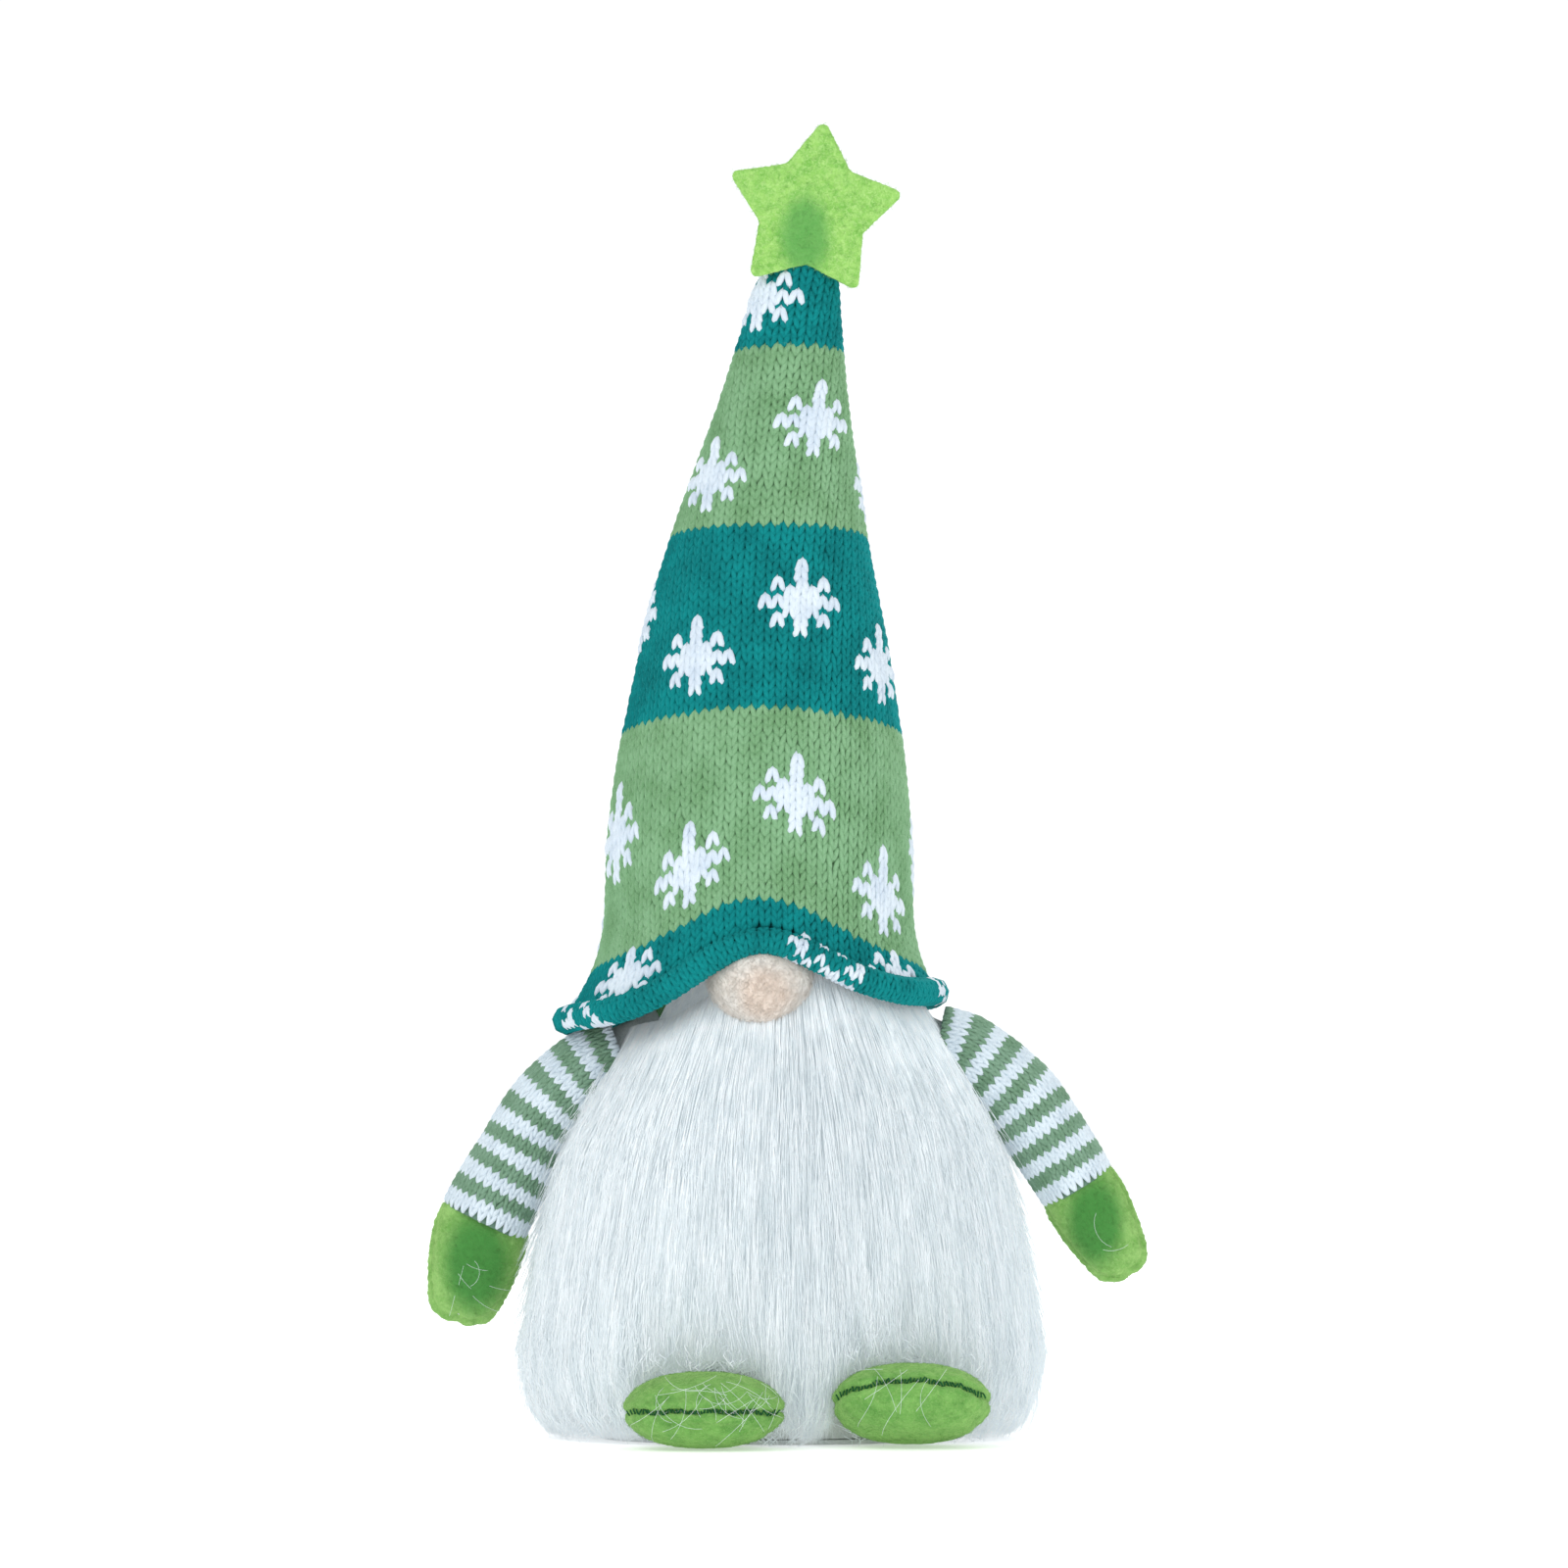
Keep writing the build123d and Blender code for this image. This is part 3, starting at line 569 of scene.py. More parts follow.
def hemHeight(turn):
    return np.interp(turn, hemAngles, hemHeights, period=2 * math.pi)


# the stitches of each band, and which of them are snow
bandSlants = [float(slantAt(top)) for top in hat["bandTops"]]
bandSlants.append(bandSlants[-1] + hat["brimRows"] * hat["rowHeight"])
bandRows = [max(1, round((bandSlants[band + 1] - bandSlants[band]) / hat["rowHeight"])) for band in range(5)]


def bandStitches(band):
    plain, snow = [], []
    step = (bandSlants[band + 1] - bandSlants[band]) / bandRows[band]
    for row in range(bandRows[band]):
        s = bandSlants[band] + (row + 0.5) * step
        reach = meanReach(s)
        most = int(math.pi * reach / hat["stitchWidth"] - 0.2)
        for column in range(-most, most + 1):
            u = column * hat["stitchWidth"]
            turn = u / reach
            z = float(np.interp(rowLean(s, turn), slant, heights))
            if z < hemHeight(turn) + 3.6:
                continue
            isSnow = False
            for middle, home in hat["flakes"].get(band, []):
                across = (column - home + 9) % hat["flakeRepeat"][band] - 9 + 3
                down = row - middle + 4
                if 0 <= across < 7 and 0 <= down < len(hat["flake"]) and hat["flake"][down][across] == "#":
                    isSnow = True
            (snow if isSnow else plain).append((u, s))
    return np.array(plain), np.array(snow)


def bendHat(piece):
    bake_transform(piece)


snowCentres = []
bandNames = ["hatTopTeal", "hatUpperSage", "hatMiddleTeal", "hatLowerSage", "hatBrimTeal"]
for band, name in enumerate(bandNames):
    plain, snow = bandStitches(band)
    paths, radii, outs = stitchPaths(plain, hatSurface, hat["stitchWidth"], hat["rowHeight"], hat["yarnLift"])
    bendHat(placeStrands(name, paths, radii * mm, 5, outs, tealYarn if band % 2 == 0 else sageYarn))
    if len(snow):
        snowCentres.append(snow)
snowCentres = np.concatenate(snowCentres)
paths, radii, outs = stitchPaths(snowCentres, hatSurface, hat["stitchWidth"], hat["rowHeight"],
                                 hat["yarnLift"] * 1.3, stretch=1.16, extraLift=0.3)
bendHat(placeStrands("hatSnowflakes", paths, radii * hat["snowThickness"] * mm, 6, outs, snowYarn))

# cloth under the stitches, a closed shell two yarns thick, painted darker than the yarn as the shade in the gaps
# between stitches
hatTurns = np.linspace(-math.pi, math.pi, 121)[:-1]
hatSteps = 150
shellOuter = []
for share in np.linspace(0, 1, hatSteps):
    lowSlant = rowAt(slantAt(hemHeight(hatTurns)), hatTurns)
    s = 2.0 + (lowSlant - 2.0) * share
    reach = meanReach(s)
    shellOuter.append(np.stack([hatTurns * reach, s], axis=1))
shellOuter = np.array(shellOuter)
outerPoints, _ = hatSurface(shellOuter[..., 0], shellOuter[..., 1], -0.45)
innerPoints, _ = hatSurface(shellOuter[::-1, :, 0], shellOuter[::-1, :, 1], -1.7)
shellPoints = np.concatenate([outerPoints, innerPoints]).reshape(-1, 3)
shellFaces = skinFaces(2 * hatSteps, len(hatTurns))
rowSlants = np.concatenate([shellOuter[:, :, 1], shellOuter[::-1, :, 1]])
isSage = ((rowSlants > bandSlants[1]) & (rowSlants < bandSlants[2])) | (
    (rowSlants > bandSlants[3]) & (rowSlants < bandSlants[4]))
shellSlots = isSage[:-1].reshape(-1)[:len(shellFaces)].astype(int)
hatShell = placeMesh("hatShell", shellPoints, [shellFaces], [tealGapShade, sageGapShade], faceSlots=shellSlots)
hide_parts("hat_lower", "hat_cone")
bendHat(hatShell)

# fluff that fills the hat
fillSteps = np.linspace(14, float(slantAt(170)), 60)
fillRings = []
for s in fillSteps:
    level = rowAt(np.full(len(hatTurns), s), hatTurns)
    reach = meanReach(level)
    fillRings.append(hatSurface(hatTurns * reach, level, -2.6)[0])
fillPoints = np.array(fillRings).reshape(-1, 3)
columns = len(hatTurns)
topMiddle, lowMiddle = fillPoints[:columns].mean(axis=0), fillPoints[-columns:].mean(axis=0)
fillPoints = np.concatenate([fillPoints, [topMiddle, lowMiddle]])
hatFilling = placeMesh("hatFilling", fillPoints, closedSkin(len(fillSteps), columns), [stuffingFluff])
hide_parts("hat_filling_lower", "hat_filling_upper")
bendHat(hatFilling)
print("hat knitted")

# rolled hem: its own stitches wrap round it
hemTurnsFine = np.linspace(-math.pi, math.pi, 1441)[:-1]
hemZ = hemHeight(hemTurnsFine)
hemRow = rowAt(slantAt(hemZ), hemTurnsFine)
hemReach = meanReach(hemRow)
hemMiddle, hemOut = hatSurface(hemTurnsFine * hemReach, hemRow, hat["hemStand"])
hemMiddle = hemMiddle / mm
hemAlong = unit(np.roll(hemMiddle, -1, axis=0) - np.roll(hemMiddle, 1, axis=0))
hemOut = unit(hemOut - (hemOut * hemAlong).sum(axis=1, keepdims=True) * hemAlong)
hemUp = np.cross(hemOut, hemAlong)
hemLength = np.concatenate([[0], np.cumsum(np.linalg.norm(np.diff(hemMiddle, axis=0, append=hemMiddle[:1]), axis=1))])
hemTotal = hemLength[-1]


def hemSurface(u, s, lift=0.0):
    u, s, lift = np.broadcast_arrays(np.asarray(u, float), np.asarray(s, float), np.asarray(lift, float))
    spot = (u % hemTotal)
    frameRows = []
    for table in (hemMiddle, hemOut, hemUp):
        closed = np.concatenate([table, table[:1]])
        frameRows.append(np.stack([np.interp(spot, hemLength, closed[:, axis]) for axis in range(3)], axis=-1))
    middle, out, up = frameRows
    angle = -s / hat["hemRadius"]
    outward = unit(np.cos(angle)[..., None] * out + np.sin(angle)[..., None] * up)
    return (middle + outward * (hat["hemRadius"] + lift)[..., None]) * mm, outward


hemCount = round(hemTotal / hat["hemStitch"])
hemRows = 8
hemRing = 2 * math.pi * hat["hemRadius"] / hemRows
hemPlain, hemSnow = [], []
for column in range(hemCount):
    u = (column + 0.5) * hemTotal / hemCount
    turn = float(np.interp(u, hemLength[:-1], hemTurnsFine))
    nearFlake = min(abs(turn - spot) for spot in (0.40, -1.12, 1.5)) < 0.22
    for row in range(hemRows):
        isSnow = nearFlake and rng.random() < 0.42 or rng.random() < 0.012
        (hemSnow if isSnow else hemPlain).append((u, (row - hemRows / 2 + 0.5) * hemRing))
for name, centres, finish in (("hemStitches", hemPlain, tealYarn), ("hemSnow", hemSnow, snowYarn)):
    paths, radii, outs = stitchPaths(np.array(centres), hemSurface, hat["hemStitch"], hemRing, 0.8)
    placeStrands(name, paths, radii * mm, 5, outs, finish, "torso")
# the hem's core is painted the darker teal, as the shade in the gaps between its stitches
hemColumns, hemSections = 16, 360
u, s = np.meshgrid(np.linspace(0, hemTotal, hemSections + 1)[:-1],
                   np.linspace(0, 2 * math.pi * hat["hemRadius"], hemColumns + 1)[:-1], indexing="ij")
hemPoints = hemSurface(u, s, -0.35)[0].reshape(-1, 3)
hemFaces = skinFaces(hemSections, hemColumns) + ringFaces(hemSections, hemColumns)
wirePoints = hemSurface(u, s, hat["wireRadius"] - hat["hemRadius"])[0].reshape(-1, 3)
settle(placeMesh("brimWire", wirePoints, [hemFaces], [steelWire]), "torso", "brim_wire", "brim_wire")
settle(placeMesh("hemRoll", hemPoints, [hemFaces], [tealGapShade]), "torso", "hat_knit", "hat_hem")
print("hem rolled")


# felt
def readRows(owner, label, width=3):
    flat = np.empty(len(owner) * width, np.float32)
    owner.foreach_get(label, flat)
    return flat.reshape(-1, width).astype(float)


def meshPoints(piece):
    return readRows(piece.data.vertices, "co")


def meshNormals(piece):
    return readRows(piece.data.vertices, "normal")


def setPoints(piece, points):
    piece.data.vertices.foreach_set("co", np.asarray(points, np.float32).ravel())
    piece.data.update()


def applyModifiers(piece):
    solved = bpy.data.meshes.new_from_object(piece.evaluated_get(bpy.context.evaluated_depsgraph_get()))
    piece.modifiers.clear()
    piece.data = solved
    for face in solved.polygons:
        face.use_smooth = True


def roughen(piece, scale, depth):
    cloud = bpy.data.textures.new(piece.name + "Cloud", "CLOUDS")
    cloud.noise_scale = scale
    cloud.noise_depth = 3
    push = piece.modifiers.new("felting", "DISPLACE")
    push.texture = cloud
    push.strength = depth
    push.mid_level = 0.5
    push.texture_coords = "LOCAL"
    applyModifiers(piece)


def puffUp(piece, pressure, reach):
    start = meshPoints(piece)
    cloth = piece.modifiers.new("puffing", "CLOTH")
    cloth.settings.quality = 5
    cloth.settings.use_pressure = True
    cloth.settings.uniform_pressure_force = pressure
    cloth.settings.effector_weights.gravity = 0.0
    for step in range(1, 21):
        bpy.context.scene.frame_set(step)
    solved = piece.evaluated_get(bpy.context.evaluated_depsgraph_get()).to_mesh()
    moved = readRows(solved.vertices, "co") - start
    piece.modifiers.clear()
    bpy.context.scene.frame_set(1)
    far = np.linalg.norm(moved, axis=1, keepdims=True)
    moved *= np.minimum(1, reach / np.maximum(far, 1e-9))
    setPoints(piece, start + moved)
    finer = piece.modifiers.new("finer", "SUBSURF")
    finer.levels = finer.render_levels = 2
    applyModifiers(piece)


# loose fibres that stand up from a surface
def standingFibres(name, piece, count, length, finish, body, thick=0.045, lean=0.75, pick=None):
    areas, middles, normals = (readRows(piece.data.polygons, label, width)
                               for label, width in (("area", 1), ("center", 3), ("normal", 3)))
    weights = areas[:, 0] * (1 if pick is None else pick(middles))
    chosen = rng.choice(len(areas), count, p=weights / weights.sum())
    sideways = unit(np.cross(normals[chosen], rng.normal(size=(count, 3))))
    turned = np.cross(normals[chosen], sideways)
    reach = length * mm * rng.uniform(0.5, 1.2, (count, 1))
    jitter = (sideways * rng.uniform(-1, 1, (count, 1)) + turned * rng.uniform(-1, 1, (count, 1))) * 0.6 * mm
    root = middles[chosen] + jitter - normals[chosen] * 0.15 * mm
    paths = []
    for share in (0, 0.35, 0.7, 1.0):
        rise = normals[chosen] * (share * (1 - 0.45 * share)) * (1.25 - lean)
        paths.append(root + reach * (rise + sideways * share * lean + turned * 0.3 * share * share))
    paths = np.stack(paths, axis=1)
    radii = np.tile(np.array([1.0, 0.9, 0.7, 0.3]) * thick * mm, (count, 1))
    placeStrands(name, paths, radii, 3, normals[chosen][:, None, :] + 0 * paths, finish, body)


hatFuzz = {"perBand": 2600, "length": 1.9}
for label, bands, finish in (("Teal", (0, 2, 4), tealYarn), ("Sage", (1, 3), sageYarn)):
    spots = []
    for band in bands:
        share = rng.uniform(0, 1, hatFuzz["perBand"])
        s = bandSlants[band] + share * (bandSlants[band + 1] - bandSlants[band])
        turn = rng.uniform(-math.pi, math.pi, len(s))
        z = np.interp(rowLean(s, turn), slant, heights)
        keepers = z > hemHeight(turn) + 2
        reach = meanReach(s)
        spots.append(np.stack([turn * reach, s], axis=1)[keepers])
    spots = np.concatenate(spots)
    aimAngles = rng.uniform(0, 2 * math.pi, (len(spots), 1))
    far = hatFuzz["length"] * rng.uniform(0.5, 1.3, (len(spots), 1))
    share = np.array([[0, 0.35, 0.7, 1.0]])
    u = spots[:, :1] + np.cos(aimAngles) * far * share
    s = spots[:, 1:] + np.sin(aimAngles) * far * share + 0.4 * far * share ** 2
    rise = 0.7 + rng.uniform(0.4, 1.3, (len(spots), 1)) * share * (1.4 - 0.6 * share)
    paths, outs = hatSurface(u, s, rise)
    radii = np.tile(np.array([1.0, 0.9, 0.7, 0.3]) * 0.05 * mm, (len(spots), 1))
    bendHat(placeStrands("hatFuzz" + label, paths, radii, 3, outs, finish))

star = {"noise": 0.0012, "depth": 0.0005, "fibres": 2600, "fibreLength": 1.8}
for side in ("front", "back"):
    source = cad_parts["star_" + side]
    piece = bpy.data.objects.new("starFelt" + side.capitalize(), source.data.copy())
    piece.data.materials.clear()
    bpy.context.scene.collection.objects.link(piece)
    fresh = piece.modifiers.new("fresh", "REMESH")
    fresh.mode = "VOXEL"
    fresh.voxel_size = 0.55 * mm
    ease = piece.modifiers.new("ease", "SMOOTH")
    ease.factor = 0.5
    ease.iterations = 4
    applyModifiers(piece)
    roughen(piece, star["noise"], star["depth"])
    piece.data.materials.clear()
    piece.data.materials.append(starFelt)
    settle(piece, "hat_top", "star_felt", "star_" + side)
    standingFibres("starFibres" + side.capitalize(), piece, star["fibres"], star["fibreLength"], starFelt, "hat_top")

nose = {"radius": 16.0, "middle": (-6.5, -38.0, 144.7), "fibres": 9000, "fibreLength": 3.4}
rings, columns = 48, 64
lat = np.linspace(0, math.pi, rings + 2)[1:-1]
lon = np.linspace(0, 2 * math.pi, columns + 1)[:-1]
ball = np.stack([np.sin(lat)[:, None] * np.cos(lon), np.sin(lat)[:, None] * np.sin(lon),
                 np.cos(lat)[:, None] * np.ones(columns)], axis=-1).reshape(-1, 3)
ball = np.concatenate([ball, [(0, 0, 1), (0, 0, -1)]])
flatten = 1 - 0.035 * np.sin(3.1 * ball[:, :1] + 1.3) * np.cos(2.7 * ball[:, 2:] - 0.4)
ball = (ball * flatten * (nose["radius"] - 0.3) + np.array(nose["middle"])) * mm
noseBall = placeMesh("noseBall", ball, closedSkin(rings, columns, turned=True), [noseFelt])
finer = noseBall.modifiers.new("finer", "SUBSURF")
finer.levels = finer.render_levels = 1
applyModifiers(noseBall)
roughen(noseBall, 0.0022, 0.0007)
settle(noseBall, "torso", "nose_felt", "nose")
standingFibres("noseFibres", noseBall, nose["fibres"], nose["fibreLength"], noseFelt, "torso",
               thick=0.06, lean=0.85)
print("star and nose felted")

# arms
arms = {
    "left": {"axis": [(-50, 120), (-56, 117.6), (-63, 113), (-71.8, 105.3), (-77.6, 97.2), (-82.3, 88), (-88.1, 78.8),
                      (-93.6, 67.6)],
             "cuff": 13.4, "top": 12.2, "hand": [(-92.4, 71.5), (-101.4, 36.4)], "handWidth": 14.6, "handDepth": 11.0,
             "notch": 1.2, "bend": (-63, 113), "hairs": 7},
    "right": {"axis": [(49, 122.5), (57, 120.6), (66, 114.3), (75.4, 106), (80.8, 98.2), (87.0, 89.0), (93.6, 78.2)],
              "cuff": 11.4, "top": 12.2, "hand": [(91.6, 81.6), (109.0, 51.0)], "handWidth": 12.4, "handDepth": 10.4,
              "notch": 0.8, "bend": (66, 113), "hairs": 2},
}
sleeveKnit = {"stitchWidth": 2.7, "rowHeight": 2.36, "rowsPerStripe": 2, "radius": 12.2}
sleeveGirth = 2 * math.pi * sleeveKnit["radius"]
mittenShape = {"along": (0.0, 0.10, 0.25, 0.42, 0.58, 0.72, 0.84, 0.93, 0.98, 1.0),
               "width": (0.95, 0.98, 1.0, 0.97, 0.90, 0.82, 0.74, 0.63, 0.50, 0.30),
               "depth": (0.95, 1.0, 1.0, 0.93, 0.82, 0.68, 0.52, 0.36, 0.24, 0.12)}
seamBump = {"ridge": 0.65, "groove": 0.7}
for side, arm in arms.items():
    sign = -1 if side == "left" else 1
    axis = np.array(arm["axis"], float)
    lengths = np.concatenate([[0], np.cumsum(np.linalg.norm(np.diff(axis, axis=0), axis=1))])
    fine = np.linspace(0, lengths[-1], 160)
    axisX, axisZ = np.interp(fine, lengths, axis[:, 0]), np.interp(fine, lengths, axis[:, 1])
    axisX, axisZ = (eased(values, 31, "reflect", reflect_type="odd") for values in (axisX, axisZ))
    total = lengths[-1]

    def sleeveSurface(u, s, lift=0.0, axisX=axisX, axisZ=axisZ, fine=fine, arm=arm, total=total, sign=sign):
        u, s, lift = np.broadcast_arrays(np.asarray(u, float), np.asarray(s, float), np.asarray(lift, float))
        radius = np.interp(s, [0, total * 0.5, total], [arm["top"], sleeveKnit["radius"], arm["cuff"]])
        x, z = np.interp(s, fine, axisX), np.interp(s, fine, axisZ)
        beyond = np.clip(s - total, 0, 10)
        dx, dz = np.interp(s, fine, np.gradient(axisX, fine)), np.interp(s, fine, np.gradient(axisZ, fine))
        x, z = x + dx * beyond, z + dz * beyond
        turn = u / sleeveKnit["radius"]
        size = np.hypot(dx, dz)
        sideX, sideZ = -dz / size, dx / size
        outward = np.stack([np.sin(turn) * sideX, -np.cos(turn), np.sin(turn) * sideZ], axis=-1)
        places = np.stack([x, 0 * x, z], axis=-1) + outward * (radius + lift)[..., None]
        return places * mm, outward

    columns = round(sleeveGirth / sleeveKnit["stitchWidth"])
    stitchWidth = sleeveGirth / columns
    rowCount = round((total - 1.5) / sleeveKnit["rowHeight"])
    rowHeight = (total - 1.5) / rowCount
    stripes = {"Sage": [], "White": []}
    for row in range(rowCount):
        kind = "White" if ((rowCount - 1 - row) // sleeveKnit["rowsPerStripe"]) % 2 == 0 else "Sage"
        stripes[kind] += [(column * stitchWidth, (row + 0.5) * rowHeight) for column in range(columns)]
    far = Vector((arm["bend"][0] * mm + sign * 0.007, 0, arm["bend"][1] * mm - 0.005))

    def bendSleeve(piece):
        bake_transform(piece)

    for kind, finish in (("Sage", sleeveSage), ("White", sleeveWhite)):
        paths, radii, outs = stitchPaths(np.array(stripes[kind]), sleeveSurface, stitchWidth, rowHeight, 0.72,
                                         stretch=1.08)
        bendSleeve(placeStrands("sleeve" + kind + side.capitalize(), paths, radii * mm, 5, outs, finish))
    # a tube under the stitches, painted darker as the shade in the gaps between them
    around = 64
    u, s = np.meshgrid(np.linspace(0, sleeveGirth, around + 1)[:-1], np.linspace(0, total, 60))
    outer = sleeveSurface(u, s, -0.5)[0]
    inner = sleeveSurface(u[::-1], s[::-1], -1.9)[0]
    tube = np.concatenate([outer, inner])
    tubeFaces = skinFaces(len(tube), around) + ringFaces(len(tube), around)
    sleeveTube = placeMesh("sleeveTube" + side.capitalize(), tube.reshape(-1, 3), [tubeFaces], [sleeveBack])
    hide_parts("sleeve_" + side, "sleeve_head_" + side)
    bendSleeve(sleeveTube)

    # mitten, two felt halves sewn at their edge
    start, end = np.array(arm["hand"][0], float), np.array(arm["hand"][1], float)
    run = end - start
    handLength = np.linalg.norm(run)
    run /= handLength
    wideWay = np.array([-run[1], run[0]]) if sign < 0 else np.array([run[1], -run[0]])
    rows, columns = 22, 36
    alongShare = np.linspace(0, 1, rows) ** 0.85
    turn = np.linspace(0, 2 * math.pi, columns + 1)[:-1]
    width = np.interp(alongShare, mittenShape["along"], mittenShape["width"]) * arm["handWidth"]
    depth = np.interp(alongShare, mittenShape["along"], mittenShape["depth"]) * arm["handDepth"]
    wide = np.cos(turn)[None] * width[:, None]
    tall = np.sign(np.sin(turn))[None] * np.abs(np.sin(turn))[None] ** 0.9 * depth[:, None]
    down = alongShare[:, None] * handLength + 0 * wide
    flat = np.stack([start[0] + run[0] * down + wideWay[0] * wide, tall,
                     start[1] + run[1] * down + wideWay[1] * wide], axis=-1)
    tip = [start[0] + run[0] * (handLength + 0.6), 0, start[1] + run[1] * (handLength + 0.6)]
    top = [start[0], 0, start[1]]
    points = np.concatenate([flat.reshape(-1, 3), [top, tip]]) * mm
    mitten = placeMesh("mitten" + side.capitalize(), points, closedSkin(rows, columns), [])
    puffUp(mitten, 3.0, 0.8 * mm)
    points, normals = meshPoints(mitten) / mm, meshNormals(mitten)
    fromStart = points[:, [0, 2]] - start
    down, across = fromStart @ run, fromStart @ wideWay
    seam = np.exp(-(points[:, 1] / 0.8) ** 2) * seamBump["ridge"]
    seam -= np.exp(-((np.abs(points[:, 1]) - 2.1) / 0.9) ** 2) * seamBump["groove"]
    seam *= smoothStep(0.02, 0.2, down / handLength)
    pucker = 1 + 0.1 * np.sin(down * 2.6) * np.exp(-(points[:, 1] / 3) ** 2)
    points += normals * (seam * pucker)[:, None]
    tipShare = smoothStep(0.72, 1.0, down / handLength)
    notch = arm["notch"] * tipShare * np.exp(-((across + 0.5) / 1.7) ** 2)
    points[:, [0, 2]] -= run * notch[:, None]
    crease = 0.5 * np.exp(-((across - 0.35 * (down - 18)) / 1.6) ** 2) * smoothStep(0.5, 0.8, down / handLength)
    points -= normals * crease[:, None]
    setPoints(mitten, points * mm)
    roughen(mitten, 0.0016, 0.0007)
    mitten.data.materials.clear()
    mitten.data.materials.append(mittenFelt[side])
    settle(mitten, "arm_" + side, "glove_felt", "mitten_front_" + side, "mitten_back_" + side)
    standingFibres("mittenFibres" + side.capitalize(), mitten, 3000, 1.7, mittenFelt[side], "arm_" + side)

    # beard hairs that cling to the felt
    share = np.linspace(0, 1, 9)
    aim = rng.normal(0.9, 0.7, (arm["hairs"], 1)) + rng.normal(0, 0.8, (arm["hairs"], 1)) * share
    reach = rng.uniform(7, 17, (arm["hairs"], 1)) / len(share)
    down = rng.uniform(0.40, 0.80, (arm["hairs"], 1)) * handLength + np.cumsum(np.cos(aim) * reach, axis=1)
    down = np.minimum(down, handLength * 0.97)
    across = rng.uniform(-7, 6, (arm["hairs"], 1)) + np.cumsum(np.sin(aim) * reach, axis=1)
    wideHere = np.interp(down / handLength, mittenShape["along"], mittenShape["width"]) * arm["handWidth"]
    deepHere = np.interp(down / handLength, mittenShape["along"], mittenShape["depth"]) * arm["handDepth"]
    hollow = np.clip(1 - (across / (wideHere + 1)) ** 2, 0, 1)
    cling = np.stack([start[0] + run[0] * down + wideWay[0] * across, -deepHere * hollow ** 0.45 - 1.6,
                      start[1] + run[1] * down + wideWay[1] * across], axis=-1)
    radii = np.full(cling.shape[:2], 0.05 * mm)
    facing = np.broadcast_to([0.0, -1.0, 0.0], cling.shape)
    placeStrands("mittenHairs" + side.capitalize(), cling * mm, radii, 3, facing, beardFur, "arm_" + side)
print("arms sewn")

# shoes
shoes = {
    "left": {"x": -24.0, "heel": -61.9, "halfWidth": 25.3, "hinge": (-70.9, 9.0), "tilt": 0.0,
             "seamRise": 0.4, "seamArch": 0.8, "hairs": 30},
    "right": {"x": 40.6, "heel": -52.5, "halfWidth": 24.8, "hinge": (-61.5, 7.2), "tilt": 12.0,
              "seamRise": 3.2, "seamArch": 3.6, "hairs": 8},
}
shoeShape = {"along": (0.0, 0.14, 0.35, 0.60, 0.80, 0.90, 0.96, 1.0),
             "width": (0.35, 0.72, 0.97, 1.0, 0.90, 0.74, 0.54, 0.26),
             "height": (0.42, 0.78, 0.97, 1.0, 0.88, 0.70, 0.50, 0.24),
             "length": 50.0, "tall": 24.6}
shoeStitch = {"pitch": 1.9, "depth": 1.05}
